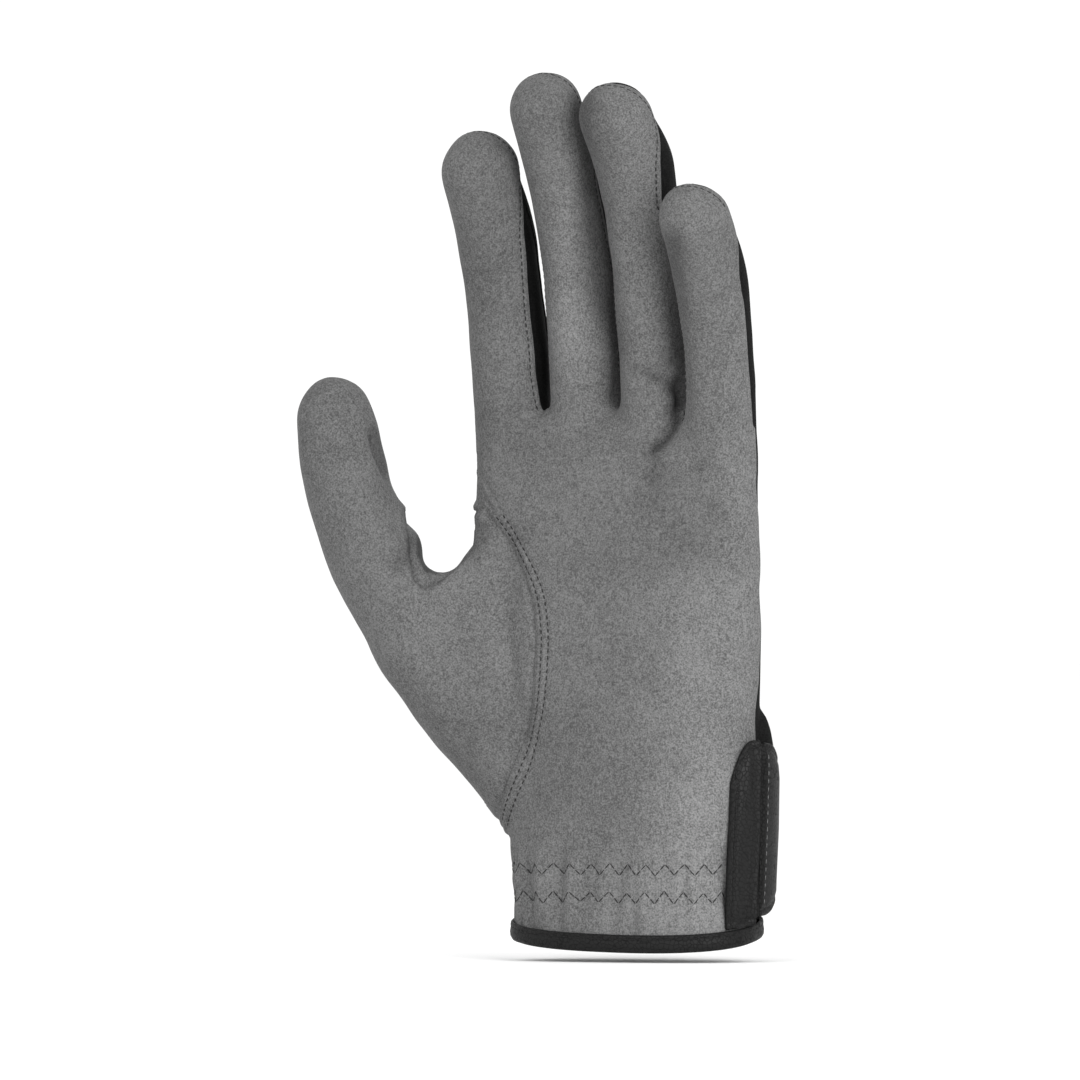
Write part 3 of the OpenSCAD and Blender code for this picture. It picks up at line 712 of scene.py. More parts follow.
def buildForm():
    bm = bmesh.new()
    g = form["grow"]
    heights = [-12, -6, 0, 7, 14, 22, 30, 40, 50, 60, 70, 80, 90, 99, 108, 114, 120, 123.5, 127, 129, 130.2]
    loftInto(bm, [[palmPoint(z, a, g) for a in np.arange(0, 360, 6)] for z in heights])
    for name in fingerNames:
        loftInto(bm, tubes[name].rings(g, 0, 4, 48))
    loftInto(bm, tubes["thumb"].rings(g, 0, 3, 48))
    hullVerts = []
    for place, radius in form["webBalls"]:
        ball = bmesh.ops.create_uvsphere(bm, u_segments=24, v_segments=16, radius=radius + g)["verts"]
        bmesh.ops.translate(bm, verts=ball, vec=place)
        hullVerts += ball
    hull = bmesh.ops.convex_hull(bm, input=hullVerts)
    unused = {v for v in hull["geom_interior"] + hull["geom_unused"] if isinstance(v, bmesh.types.BMVert)}
    bmesh.ops.delete(bm, geom=list(unused), context="VERTS")
    place, size = form["wristBulge"]
    bump = bmesh.ops.create_uvsphere(bm, u_segments=24, v_segments=16, radius=1.0)["verts"]
    bmesh.ops.scale(bm, verts=bump, vec=size)
    bmesh.ops.translate(bm, verts=bump, vec=place)
    bmesh.ops.recalc_face_normals(bm, faces=bm.faces)
    mesh = bpy.data.meshes.new("handForm")
    bm.to_mesh(mesh)
    bm.free()
    temp = bpy.data.objects.new("handForm", mesh)
    bpy.context.scene.collection.objects.link(temp)
    remesh = temp.modifiers.new("even", "REMESH")
    remesh.mode = "VOXEL"
    remesh.voxel_size = form["voxel"]
    evened = bpy.data.meshes.new_from_object(temp.evaluated_get(bpy.context.evaluated_depsgraph_get()))
    bpy.data.objects.remove(temp)
    bm = bmesh.new()
    bm.from_mesh(evened)
    even(bm, bm.verts, form["smoothing"])
    hard = [v for v in bm.verts if (116 < v.co.z < 136 and v.co.x > -42)
            or (-62 < v.co.x < -28 and 80 < v.co.z < 110)]
    even(bm, hard, form["crotchSmoothing"])
    tilt = Vector((cuffEdge["lean"] / cuffEdge["halfWidth"], -cuffEdge["rise"] / cuffEdge["halfDepth"], 1))
    tilt.normalize()
    bmesh.ops.bisect_plane(bm, geom=bm.verts[:] + bm.edges[:] + bm.faces[:], plane_co=(0, 0, 0.25),
                           plane_no=tilt, clear_inner=True)
    bm.to_mesh(evened)
    bm.free()
    return evened


def seamBow(z):
    # The thumb seam leaves its circle at the top, towards the web.
    return 4.4 * smoothStep(z, 82, 110)


def handFields(p):
    # Signed distances, in millimetres, that say where each panel lies.
    x, y, z = p.T
    s = p @ acrossView
    cx, a, b, arch = palmRow(z)
    u = np.clip((x - cx) / a, -1, 1)
    seamY = palm["sideSeam"] + 1.3 * smoothStep(u, 0.55, 1.0) * smoothStep(z, 54, 66) - arch * u * u
    frontPalm = seamY - y
    size = np.full(len(p), 9.0)
    owner = np.full(len(p), -1)
    front, back, width = (np.zeros(len(p)) for _ in range(3))
    lengthwise = {}
    for i, name in enumerate(stallNames):
        angle, r, height, radius = tubes[name].locate(p)
        start, end = bendLine(name)
        lengthwise[name] = (p - start) @ unit(end - start)
        nearer = (r < size) & ((z > 108) if i < 4 else (x < -38))
        size = np.where(nearer, r, size)
        owner = np.where(nearer, i, owner)
        if i == 4:
            continue
        d = (angle + 90 + 180) % 360 - 180  # nought in the middle of the finger's pad
        leftHalf, rightHalf, _ = gussetAngles(name, height)
        left, right, over = suedeEdges(name, height)
        leftBack = left if name == "index" else 90 + leftHalf
        rightBack = right if name == "little" else right + 2 * rightHalf

        def across(degrees):  # along the surface, and flat over the fingertip
            return radius * np.clip(np.radians(degrees), -0.95, 0.95)
        crotch = np.where(d < 0, crotches["front"][max(i - 1, 0)], crotches["front"][min(i, 2)])
        open_ = ((d < 0) & (i > 0)) | ((d > 0) & (i < 3))
        close = np.where(open_, crotchCover(name, d > 0, z, crotch), 0)
        fi = np.minimum(across(right - d), across(d + left)) + close + over
        bi = np.maximum(across(d - rightBack), across(-leftBack - d)) - over
        gw = np.where(open_, np.radians(np.where(d > 0, rightHalf, leftHalf)) * gusset["girth"], -1.0)
        front, back, width = (np.where(nearer, *pair) for pair in ((fi, front), (bi, back), (gw, width)))
    finger = (owner >= 0) & (owner < 4)
    frontTop = np.interp(x, crotches["across"], crotches["front"])
    f = np.maximum(np.minimum(frontPalm, frontTop - z), np.where(finger, np.minimum(front, z - 118), -50))
    k = np.maximum(np.minimum(-frontPalm, crotches["back"] - z),
                   np.where(finger, np.minimum(back, z - 118), -50))
    k = k + 4 * (1 - smoothStep(width, 0.3, 2.4)) * finger * (z > 118)
    k = np.where(z < 118, -frontPalm + 4, k)
    side = np.minimum(np.minimum(3.0 - f, 1.6 - k), np.minimum(z - 119.5, np.where(finger, width - 0.35, 4)))
    littleOuter = (x > 27.5) & (z > 120) & (y > -9) & (owner == 3) & (width < 0)
    side = np.where((x < -41.5) | (x > 33) | littleOuter, -4, side)
    # the thumb piece
    centreX, centreZ = thumbSeam["centre"]
    inner = smoothStep(x, -60, -49)
    ring = thumbSeam["radius"] - seamBow(z) * inner + 9 * (1 - inner) - np.hypot(x - centreX, z - centreZ)
    behind = lineSide(x, z, thumbSeam["back"])
    w = smoothStep(frontPalm, -2.5, 2.5)
    thumbField = np.minimum(ring * w + behind * (1 - w), np.maximum(105.5 - z, -47.5 - x))
    web = np.minimum(insidePolygon(s, z, webLap), 105.8 - z)
    slitField = np.where(y > 0, -insidePolygon(x, z, slit), 20.0)
    return {"front": f, "back": k, "side": side, "strip": np.where(finger, width, -1.0), "thumb": thumbField,
            "ring": ring, "frontPalm": frontPalm, "web": web, "slit": slitField, "owner": owner.astype(float),
            "across": s,
            **{"bend" + n: np.where(owner == i, lengthwise[n], -20.0) for i, n in enumerate(stallNames)}}


def shapeForm(mesh):
    # Lays folds, gathers and unevenness on the form, and stores the panels' fields and the painted light and
    # shade on it.
    p = coordinates(mesh)
    n = vertexNormals(mesh)
    fields = handFields(p)
    x, y, z = p.T
    s = fields["across"]
    facing = smoothStep(n @ towardsCamera, 0.05, 0.55)
    push = np.zeros(len(p))
    for line, depth, width in folds:
        d, t = lineDistance(s, z, line)
        ends = np.clip(np.minimum(t, 1 - t) * 5, 0, 1) ** 0.7
        push -= depth * np.exp(-(d / width) ** 2) * ends * facing
    # painted shade: darker where the folds press the cloth in
    tone = -0.05 * np.clip(-push, 0, 3)

    def spread(across, height, reachS, reachZ):
        return np.exp(-((s - across) / reachS) ** 2 - ((z - height) / reachZ) ** 2)
    for name, *place, amount in nudges:
        mine = np.ones(len(p)) if name is None else fields["owner"] == stallNames.index(name)
        push += amount * mine * spread(*place)
    # painted light and shade in patches
    for *place, amount in paintedLightAndShade:
        tone += amount * spread(*place)
    for line, width, amount in shadows:
        tone += amount * np.exp(-(lineDistance(s, z, line)[0] / width) ** 2)
    for outline, amount in shadedAreas:
        tone += amount * smoothStep(insidePolygon(s, z, outline), -0.5, 0.5)
    # painted shadow: a dark line where the thumb piece laps over the web
    onWeb = (fields["thumb"] > -2) * (n @ towardsCamera > 0)
    tone -= 0.46 * np.exp(-((fields["web"] + 0.1) / 0.5) ** 2) * onWeb
    # painted shadow: a dark line under the palm's edge along the thumb seam
    tone -= 0.14 * np.exp(-((fields["ring"] + 0.2) / 0.8) ** 2) * (fields["frontPalm"] > 1)
    gather = form["gather"]
    for size, height in form["ripple"]:
        push += height * np.array([noise.noise(Vector(q) / size) for q in p]) * 1.6
    low = z < gather["top"] + 4
    fade = smoothStep(z, gather["top"], gather["top"] - 12) * smoothStep(z, -3.5, 6)
    pucker = np.zeros(len(p))
    pucker[low] = [noise.noise(Vector((q[0] / gather["spacing"], q[1] / gather["spacing"], q[2] / 34)))
                   + 0.5 * noise.noise(Vector((q[0] / 2.2, q[1] / 2.2, q[2] / 14 + 7))) for q in p[low]]
    push += np.maximum(gather["height"] * fade * pucker * 1.5, -0.9)
    for row in zigzag["rows"]:  # the cloth is drawn in along each zigzag
        push -= 0.35 * np.exp(-((z - row) / 2.4) ** 2)
    # painted light and shade on the gathers: raised puckers lighter, hollows darker
    tone += 0.11 * fade * pucker
    # the painted light and shade is kept as the 'shade' attribute, weaker on faces turned from the camera
    fields["shade"] = np.maximum(tone * (0.35 + 0.65 * smoothStep(n @ towardsCamera, -0.2, 0.2)), -0.85)
    p = p + n * push[:, None]
    mesh.vertices.foreach_set("co", p.ravel())
    mesh.update()
    n = vertexNormals(mesh)
    for name, values in fields.items():
        layer = mesh.attributes.new(name, "FLOAT", "POINT")
        layer.data.foreach_set("value", values.astype(np.float32))
    for k, axis in enumerate("XYZ"):
        layer = mesh.attributes.new("out" + axis, "FLOAT", "POINT")
        layer.data.foreach_set("value", n[:, k].astype(np.float32))
    return mesh


handForm = shapeForm(buildForm())
print("hand form:", len(handForm.polygons), "faces", flush=True)

# Panels cut from the form

panelCloth = {"suede": 0.62, "suedeLift": 0.66, "knit": 0.6, "knitLift": -0.06, "sideLift": -0.16, "lap": 3.0}
surfaces = {}  # outer faces that stitches are laid on


def layersOf(bm, *names):
    return [bm.verts.layers.float[name] for name in names]


def fieldsOf(bm, names):
    table = np.array([[v[bm.verts.layers.float[n]] for n in names] for v in bm.verts])
    return {n: table[:, k] for k, n in enumerate(names)}


def dropLoose(bm):
    bmesh.ops.delete(bm, geom=[v for v in bm.verts if not v.link_faces], context="VERTS")


def openPanel(keep, rise, refine=None):
    # A panel's outer face: keep's numbers are above nought on it, and rise is how far it stands off the form.
    bm = bmesh.new()
    bm.from_mesh(handForm)
    names = [layer.name for layer in bm.verts.layers.float]
    kept = keep(fieldsOf(bm, names))
    for k, values in enumerate(kept):
        layer = newLayer(bm, "keep%d" % k)
        for v, value in zip(bm.verts, values):
            v[layer] = value
    for k in range(len(kept)):
        keepWhere(bm, bm.verts.layers.float["keep%d" % k])
    dropLoose(bm)
    if refine:
        layers = {n: bm.verts.layers.float[n] for n in names}
        chosen = [e for e in bm.edges if all(refine({n: v[l] for n, l in layers.items()}) for v in e.verts)]
        bmesh.ops.subdivide_edges(bm, edges=chosen, cuts=1, use_grid_fill=True)
        bmesh.ops.triangulate(bm, faces=[f for f in bm.faces if len(f.verts) > 4])
    ox, oy, oz = layersOf(bm, "outX", "outY", "outZ")
    for v, up in zip(bm.verts, rise(fieldsOf(bm, names))):
        v.co += Vector((v[ox], v[oy], v[oz])).normalized() * float(up)
    bm.normal_update()
    nx, ny, nz = (newLayer(bm, "normal" + c) for c in "XYZ")
    for v in bm.verts:
        v[nx], v[ny], v[nz] = v.normal
    return bm


def takePart(bm, name, wanted, thickness, finish):
    # A copy of the part of an open panel whose faces are wanted, as a closed sheet with its own thickness.
    part = bm.copy()
    if wanted:
        drop = [f for f, original in zip(part.faces, bm.faces) if not wanted(original)]
        bmesh.ops.delete(part, geom=drop, context="FACES")
        dropLoose(part)
    sx, sy, sz = layersOf(part, "normalX", "normalY", "normalZ")
    wall = newLayer(part, "wall")

    def outwardAt(v):
        return Vector((v[sx], v[sy], v[sz]))
    inner = {v: outwardAt(v).normalized() for v in part.verts}
    everything = part.faces[:] + part.edges[:] + part.verts[:]
    made = bmesh.ops.extrude_face_region(part, geom=everything, use_keep_orig=True)
    for g in made["geom"]:
        if isinstance(g, bmesh.types.BMVert):
            g[wall] = 1.0
    for v, way in inner.items():
        v.co -= way * thickness
    bmesh.ops.recalc_face_normals(part, faces=part.faces)
    part.normal_update()
    outer = [f for f in part.faces if all(v[wall] > 0.5 for v in f.verts)]
    agree = sum(f.normal.dot(outwardAt(f.verts[0])) * f.calc_area() for f in outer)
    if agree < 0:
        bmesh.ops.reverse_faces(part, faces=part.faces)
        part.normal_update()
    turned = [f for f in part.faces if len({round(v[wall]) for v in f.verts}) == 1
              and f.normal.dot(outwardAt(f.verts[0])) * (f.verts[0][wall] - 0.5) < 0]
    bmesh.ops.reverse_faces(part, faces=turned)  # slivers that folding left the wrong way round
    part.normal_update()
    normals = []
    for f in part.faces:
        walls = {round(v[wall]) for v in f.verts}
        sign = 1.0 if walls == {1} else -1.0
        normals += [outwardAt(loop.vert).normalized() * sign if len(walls) == 1 else f.normal.copy()
                    for loop in f.loops]
    piece = finishPiece(part, name, finish)
    piece.data.normals_split_custom_set(normals)
    return piece


def splitPanel(bm, thickness, finish, handName, stallName, bodies):
    # Cuts an open panel at the planes where each stall starts to bend, and makes each part a piece.
    for name in bodies:
        cutAlong(bm, bm.verts.layers.float["bend" + name])
    layers = {name: bm.verts.layers.float["bend" + name] for name in bodies}

    def stallOf(f):
        for name, layer in layers.items():
            if sum(v[layer] for v in f.verts) > 0:
                return name
        return None
    pieces = {}
    pieces["hand"] = takePart(bm, handName, lambda f: stallOf(f) is None, thickness, finish)
    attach(pieces["hand"], "hand_shell")
    for name in bodies:
        pieces[name] = takePart(bm, stallName.format(name), lambda f: stallOf(f) == name, thickness, finish)
        bendWith(pieces[name], name)
    return pieces


def bendWith(piece, name):
    start, end = bendLine(name)
    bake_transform(piece, "hand_shell", name + "_stall", tuple(start / perMetre), tuple(end / perMetre))


def edgeShape(distance, low=0.32, width=1.1):
    # How far the outer face of a raw edge drops, by distance from the edge.
    return -low * (1 - smoothStep(distance, 0.0, width))


def stitchGroove(distance, at=1.5, depth=0.22, width=0.55):
    return -depth * np.exp(-((distance - at) / width) ** 2)


def keepPalm(f):
    return [f["front"], -f["thumb"], -np.minimum(f["web"], f["thumb"] + 2)]


def risePalm(f):
    edge = np.minimum(f["front"], -f["thumb"])
    onThumbSeam = smoothStep(f["frontPalm"], 1, 4) * (f["ring"] > -8)
    first, second = (stitchGroove(-f["ring"], at, 0.25, 0.5) for at in thumbSeam["rows"])
    rows = onThumbSeam * (first + second + 0.18 * np.exp(-((-f["ring"] - 2.6) / 0.6) ** 2))
    aboveCuff = (f["front"] < 6) & (f["owner"] >= 0)
    return panelCloth["suedeLift"] + edgeShape(edge) + rows + aboveCuff * stitchGroove(f["front"])


def nearSeam(v):
    return -0.5 < v["front"] < 3.2 or (-6.0 < v["ring"] < 1.5 and v["frontPalm"] > -1)


front = openPanel(keepPalm, risePalm, nearSeam)
surfaces["front"] = BVHTree.FromBMesh(front)
frontPieces = splitPanel(front, panelCloth["suede"], "suede", "palmSuede", "{}FrontSuede", fingerNames)
front.free()
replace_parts(frontPieces["hand"], "palm_panel")
for name in fingerNames:
    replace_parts(frontPieces[name], name + "_front")
print("palm suede:", sum(len(o.data.polygons) for o in frontPieces.values()), "faces", flush=True)


def keepBack(f):
    return [f["back"], np.minimum(panelCloth["lap"] - f["front"], panelCloth["lap"] - f["thumb"]), f["slit"]]


def riseBack(f):
    overSide = smoothStep(-f["front"], 1.2, 3.4) * smoothStep(f["strip"], 0.1, 1.6)
    seam = overSide * (edgeShape(f["back"], 0.3, 1.0) + stitchGroove(f["back"], 1.4, 0.2, 0.5))
    return panelCloth["knitLift"] + 0.42 * overSide + seam


back = openPanel(keepBack, riseBack, lambda v: v["owner"] >= 0 and -0.5 < v["back"] < 2.6)
surfaces["back"] = BVHTree.FromBMesh(back)
backPieces = splitPanel(back, panelCloth["knit"], "knit", "backKnit", "{}BackKnit", fingerNames)
back.free()
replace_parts(backPieces["hand"], "back_panel")
for name in fingerNames:
    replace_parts(backPieces[name], name + "_back")


def keepSide(f):
    return [f["side"]]


def riseSide(f):
    return np.full(len(f["side"]), panelCloth["sideLift"])


side = openPanel(keepSide, riseSide)
for name in fingerNames:
    cutAlong(side, side.verts.layers.float["bend" + name])


def sidePart(name, piece, left):
    layer = side.verts.layers.float["bend" + name]
    middle = tubes[name].centre[30][0]

    def wanted(f):
        c = f.calc_center_median()
        return sum(v[layer] for v in f.verts) > 0 and (c.x < middle) == left
    part = takePart(side, piece, wanted, panelCloth["knit"], "mesh")
    bendWith(part, name)
    return part


def crotchPart(k, piece):
    low, high = (tubes[name].centre[20][0] for name in fingerNames[k:k + 2])
    layers = [side.verts.layers.float["bend" + name] for name in fingerNames]

    def wanted(f):
        beyond = any(sum(v[layer] for v in f.verts) > 0 for layer in layers)
        return low < f.calc_center_median().x <= high and not beyond
    part = takePart(side, piece, wanted, panelCloth["knit"], "mesh")
    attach(part, "hand_shell")
    return part


sideNames = [("index", False, "index_gusset_inner"), ("middle", True, "middle_gusset_outer"),
             ("middle", False, "middle_gusset_inner"), ("ring", True, "ring_gusset_outer"),
             ("ring", False, "ring_gusset_inner"), ("little", True, "little_gusset_outer")]
for name, left, node in sideNames:
    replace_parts(sidePart(name, name + ("SideLeft" if left else "SideRight"), left), node)
crotchNames = [("indexMiddleCrotch", "index_middle_gusset"), ("middleRingCrotch", "middle_ring_gusset"),
               ("ringLittleCrotch", "ring_little_gusset")]
for k, (piece, node) in enumerate(crotchNames):
    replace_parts(crotchPart(k, piece), node)
side.free()
print("knit back and sides made", flush=True)


def keepThumb(f):
    under = np.where(f["frontPalm"] > 2, 4.2, 0.0)
    return [f["thumb"] + under * smoothStep(f["ring"], -6, 0), -f["web"]]


def riseThumb(f):
    underPalm = smoothStep(f["frontPalm"], 0.5, 3) * (1 - smoothStep(f["ring"], 0.2, 2.6))
    overBack = (1 - smoothStep(f["frontPalm"], 0.5, 3)) * edgeShape(f["thumb"])
    web = -f["web"]
    lap = 0.55 * (1 - smoothStep(web, 0.4, 3.4)) * smoothStep(f["frontPalm"], 0, 3)
    return panelCloth["suedeLift"] - 0.66 * underPalm + overBack + edgeShape(web, 0.3, 0.8) + lap


def nearThumbSeam(v):
    return -5.0 < v["ring"] < 3.0 and v["frontPalm"] > -1 or -3.0 < v["web"] < 0.5


thumbPanel = openPanel(keepThumb, riseThumb, nearThumbSeam)
thumbPieces = splitPanel(thumbPanel, panelCloth["suede"], "suede", "thumbSuede", "{}TipSuede", ["thumb"])
thumbPanel.free()
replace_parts(thumbPieces["hand"], "thumb_panel")
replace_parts(thumbPieces["thumb"], "thumb_tip")


def keepWeb(f):
    return [np.minimum(f["web"] + 2.2, f["thumb"] + 1.5)]


def riseWeb(f):
    under = smoothStep(f["frontPalm"], -3, 1)
    underLap = (0.62 + 0.5 * under) * (1 - smoothStep(f["web"], 0.3, 3.0))
    return 0.55 - underLap - 0.55 * (1 - smoothStep(f["thumb"], -1.2, 0.6))


webPanel = openPanel(keepWeb, riseWeb)
webPiece = takePart(webPanel, "webSuede", None, panelCloth["suede"], "suede")
webPanel.free()
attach(webPiece, "hand_shell")
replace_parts(webPiece, "web_gusset")
print("thumb and web made", flush=True)

# Stitches


seams = {"pitch": 1.75, "dash": 1.05, "inset": 1.5, "radius": 0.2, "widestGap": 4.5, "castFrom": 2.4,
         "castReach": 80.0, "strayAside": 3.2, "strayOver": 6.5}


def castOn(names, origin, way):
    # The point where a ray meets the nearest of the named surfaces, and the normal there.
    best = None
    start, way = Vector(origin), Vector(way)
    for name in names:
        place, normal, _, far = surfaces[name].ray_cast(start, way, seams["castReach"])
        while name == "front" and place is not None and normal.dot(way) > 0:  # met from behind
            place, normal, _, far = surfaces[name].ray_cast(place + way * 0.05, way, seams["castReach"])
        if place is not None and (best is None or far < best[2]):
            best = (place, normal if normal.dot(way) < 0 else -normal, far)
    return best and best[:2]


def sew(path, pitch, dash, start=0.3):
    # Cuts a path of points and normals into stitches: both ends and the normal of each.
    path = [q for q in path if q]
    runs, total = [0.0], 0.0
    for a, b in zip(path, path[1:]):
        total += (b[0] - a[0]).length
        runs.append(total)
    gaps = np.diff(runs)

    def at(run):
        k = min(max(int(np.searchsorted(runs, run)) - 1, 0), len(path) - 2)
        t = (run - runs[k]) / max(runs[k + 1] - runs[k], 1e-6)
        return path[k][0].lerp(path[k + 1][0], t), path[k][1].lerp(path[k + 1][1], t)
    out, run = [], start
    while run + dash < total:
        (p, n1), (q, n2) = at(run), at(run + dash)
        widest = max(gaps[k] for k in range(len(gaps)) if runs[k + 1] > run and runs[k] < run + dash)
        if widest < seams["widestGap"]:
            out.append((p, q, (n1 + n2).normalized()))
        run += pitch
    return out


def threadBars(bm, stitches, radius, lift, flat=0.8):
    # Each stitch is a plump little bar of thread, half sunk in the cloth.
    for p, q, n in stitches:
        way = (q - p).normalized()
        side = way.cross(n).normalized()
        up = side.cross(way)
        turn = Matrix((side, way, up)).transposed().to_4x4()
        size = Matrix.Diagonal((radius, (q - p).length / 2 + radius * 0.3, radius * flat, 1.0))
        middle = Matrix.Translation((p + q) / 2 + n * lift)
        bmesh.ops.create_uvsphere(bm, u_segments=6, v_segments=6, radius=1.0,
                                  matrix=middle @ turn @ size @ Matrix.Rotation(math.pi / 2, 4, "X"))


def stitchPiece(name, stitches, finish, body, radius, lift=0.04, replaced=()):
    bm = bmesh.new()
    threadBars(bm, stitches, radius, lift)
    piece = finishPiece(bm, name, finish)
    if body in ("hand_shell", "strap"):
        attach(piece, body)
    else:
        bendWith(piece, body)
    if replaced:
        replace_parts(piece, *replaced)


def fingerSeam(name, sides):
    # Rays along the suede's edge: up one side of a finger, over its tip, down the other.
    i, tube = fingerNames.index(name), tubes[name]
    path = []

    def edge(k, sign):
        height = tube.centre[k][2]
        left, right, over = suedeEdges(name, height)
        close = float(over)
        if not (name == "index" and sign < 0):
            crotch = crotches["front"][i - 1 if sign < 0 else i]
            close += float(crotchCover(name, sign > 0, height, crotch))
            if height < crotch + 0.8:
                return None
        inset = math.degrees((seams["inset"] - close) / gusset["girth"])
        d = sign * (float(left if sign < 0 else right) - inset) - 90
        c, ea, eb, a = tube.centre[k], tube.ea[k], tube.eb[k], tube.a[k]
        way = ea * math.cos(math.radians(d)) + eb * math.sin(math.radians(d))
        hit = castOn(["front"], c + way * (a + seams["castFrom"]), -way)
        return hit if hit and (hit[0] - Vector(c + way * a)).length < seams["strayAside"] else None
    side = [k for k in range(tube.tipIndex + 1) if tube.centre[k][2] > 110]
    if "left" in sides:
        path += [edge(k, -1) for k in side]
    if "tip" in sides:
        k = tube.tipIndex
        for turn in range(180, -1, -6):
            way = tube.ea[k] * math.cos(math.radians(turn)) + tube.way[k] * math.sin(math.radians(turn))
            inset = gusset["overTip"][name] - seams["inset"]
            origin = tube.centre[k] + way * (tube.a[k] + seams["castFrom"]) + tube.eb[k] * inset
            hit = castOn(["front"], origin, -way)
            path.append(hit if hit and (hit[0] - Vector(origin)).length < seams["strayOver"] else None)
    if "right" in sides:
        path += [edge(k, 1) for k in reversed(side)]
    return sew(path, seams["pitch"], seams["dash"])


handStitches = []
for name, sides in (("index", "left tip right"), ("middle", "left tip right"), ("ring", "left tip right"),
                    ("little", "left tip")):
    stitches = fingerSeam(name, sides)
    start, end = bendLine(name)
    way = unit(end - start)
    beyond = [s for s in stitches if (np.array((s[0] + s[1]) / 2) - start) @ way > 0]
    handStitches += [s for s in stitches if s not in beyond]
    stitchPiece(name + "Stitching", beyond, "thread", name, seams["radius"])
stitchPiece("fingerRootStitching", handStitches, "thread", "hand_shell", seams["radius"])

thumbRows = []
for row in thumbSeam["rows"]:
    path = []
    for degrees in np.arange(32.0, -36.5, -0.6):
        away = thumbSeam["radius"] + row
        away -= seamBow(thumbSeam["centre"][1] + away * math.sin(math.radians(degrees)))
        x = thumbSeam["centre"][0] + away * math.cos(math.radians(degrees))
        z = thumbSeam["centre"][1] + away * math.sin(math.radians(degrees))
        path.append(castOn(["front"], (x, -70, z), (0, 1, 0)))
    thumbRows += sew(path, 1.7, 1.0, 0.3 if row == thumbSeam["rows"][0] else 1.0)
stitchPiece("thumbSeamStitching", thumbRows, "thread", "hand_shell", 0.19, 0.04, ["thumb_seam_stitching"])


def wobble(point, size, height):
    return height * noise.noise(Vector(point) / size)


def cuffCast(height, degrees, names=("front",)):
    inside, outside = palmPoint(height, degrees, -2), palmPoint(height, degrees, 9)
    return castOn(names, outside, (inside - outside).normalized())


legs = []
for row in zigzag["rows"]:
    angles = [zigzag["from"]]
    while angles[-1] < zigzag["to"]:  # even steps along the cloth
        here, there = palmPoint(row, angles[-1]), palmPoint(row, angles[-1] + 1)
        angles.append(angles[-1] + zigzag["pitch"] / 2 / (there - here).length)
    corners = [cuffCast(row + zigzag["rise"] * (1 if k % 2 else -1) + wobble((k * 3.1, row, 0), 2.0, 0.55), a)
               for k, a in enumerate(angles)]
    for a, b in zip(corners, corners[1:]):
        if a and b:
            for lo, hi in ((0.04, 0.46), (0.54, 0.96)):
                ends = [a[0].lerp(b[0], t) for t in (lo, hi)]
                hits = [castOn(["front"], e + a[1] * 4, -a[1]) for e in ends]
                if all(hits):
                    legs.append((hits[0][0], hits[1][0], (hits[0][1] + hits[1][1]).normalized()))
stitchPiece("zigzagStitching", legs, "thread", "hand_shell", 0.155, 0.04, ["zigzag_stitching"])
print("stitching made:", len(handStitches) + len(thumbRows) + len(legs), "on the hand", flush=True)

# Cuff binding, slit and elastic


def sweep(corners, steps, place):
    # A closed strip: a loop of points drawn along a path, capped at both ends.
    bm = bmesh.new()
    mark = bm.verts.layers.int.new("profilePlace")
    loop = [bm.verts.new(place(0, k)) for k in range(corners)]
    for k, v in enumerate(loop):
        v[mark] = k
    first = [bm.edges.new((loop[k], loop[(k + 1) % corners])) for k in range(corners)]
    edges = first
    for step in range(1, steps + 1):
        made = bmesh.ops.extrude_edge_only(bm, edges=edges)["geom"]
        verts = {g for g in made if isinstance(g, bmesh.types.BMVert)}
        for v in verts:
            v.co = place(step, v[mark])
        edges = [g for g in made if isinstance(g, bmesh.types.BMEdge) and set(g.verts) <= verts]
    for rim in (first, edges):
        bmesh.ops.contextual_create(bm, geom=rim)
    bmesh.ops.recalc_face_normals(bm, faces=bm.faces)
    return bm


binding = {
    # how far out from the cuff's edge, and how far up, round the binding's section
    "profile": [(0.22, 3.35), (0.62, 3.5), (0.98, 3.25), (1.08, 2.75), (0.92, 2.35), (1.08, 1.9),
                (1.22, 0.9), (1.1, -0.1), (0.65, -0.85), (-0.1, -1.15), (-0.9, -1.1), (-1.55, -0.7),
                (-1.85, 0.1), (-1.9, 1.6), (-1.85, 3.2), (-1.55, 3.4), (-1.35, 3.1), (-1.3, 0.6),
                (-0.9, -0.05), (-0.1, -0.1), (0.18, 0.5)],
    "from": 89.2, "to": 433.2, "steps": 150,
}


def bindingPoint(step, k):
    degrees = binding["from"] + (binding["to"] - binding["from"]) * step / binding["steps"]
    off, up = binding["profile"][k]
    p = palmPoint(max(edgeHeight(degrees, off) + up + 0.01, -11.9), degrees, off)
    if off > 0.5:
        out = (p - palmPoint(p.z, degrees, off - 1)).normalized()
        p += out * wobble(p, 3.5, 0.12)
    return p


bm = sweep(len(binding["profile"]), binding["steps"], bindingPoint)
surfaces["binding"] = BVHTree.FromBMesh(bm)
cuffBinding = fittedPiece(bm, "cuffBinding", "binding", "hand_shell", "cuff_binding")
row = [cuffCast(edgeHeight(a, 1.0) + 2.42, a, ("binding",)) for a in np.arange(92, 431, 0.8)]
stitchPiece("bindingStitching", sew(row, 1.9, 1.2), "blackThread", "hand_shell", 0.18, 0.05)


def backPoint(x, z, off):
    cx, a, b, arch = palmRow(z)
    u = min(abs((x - cx) / (a + off)), 0.999)
    return Vector((x, (b + off) * (1 - u ** palm["power"]) ** (1 / palm["power"]) - arch * u * u, z))


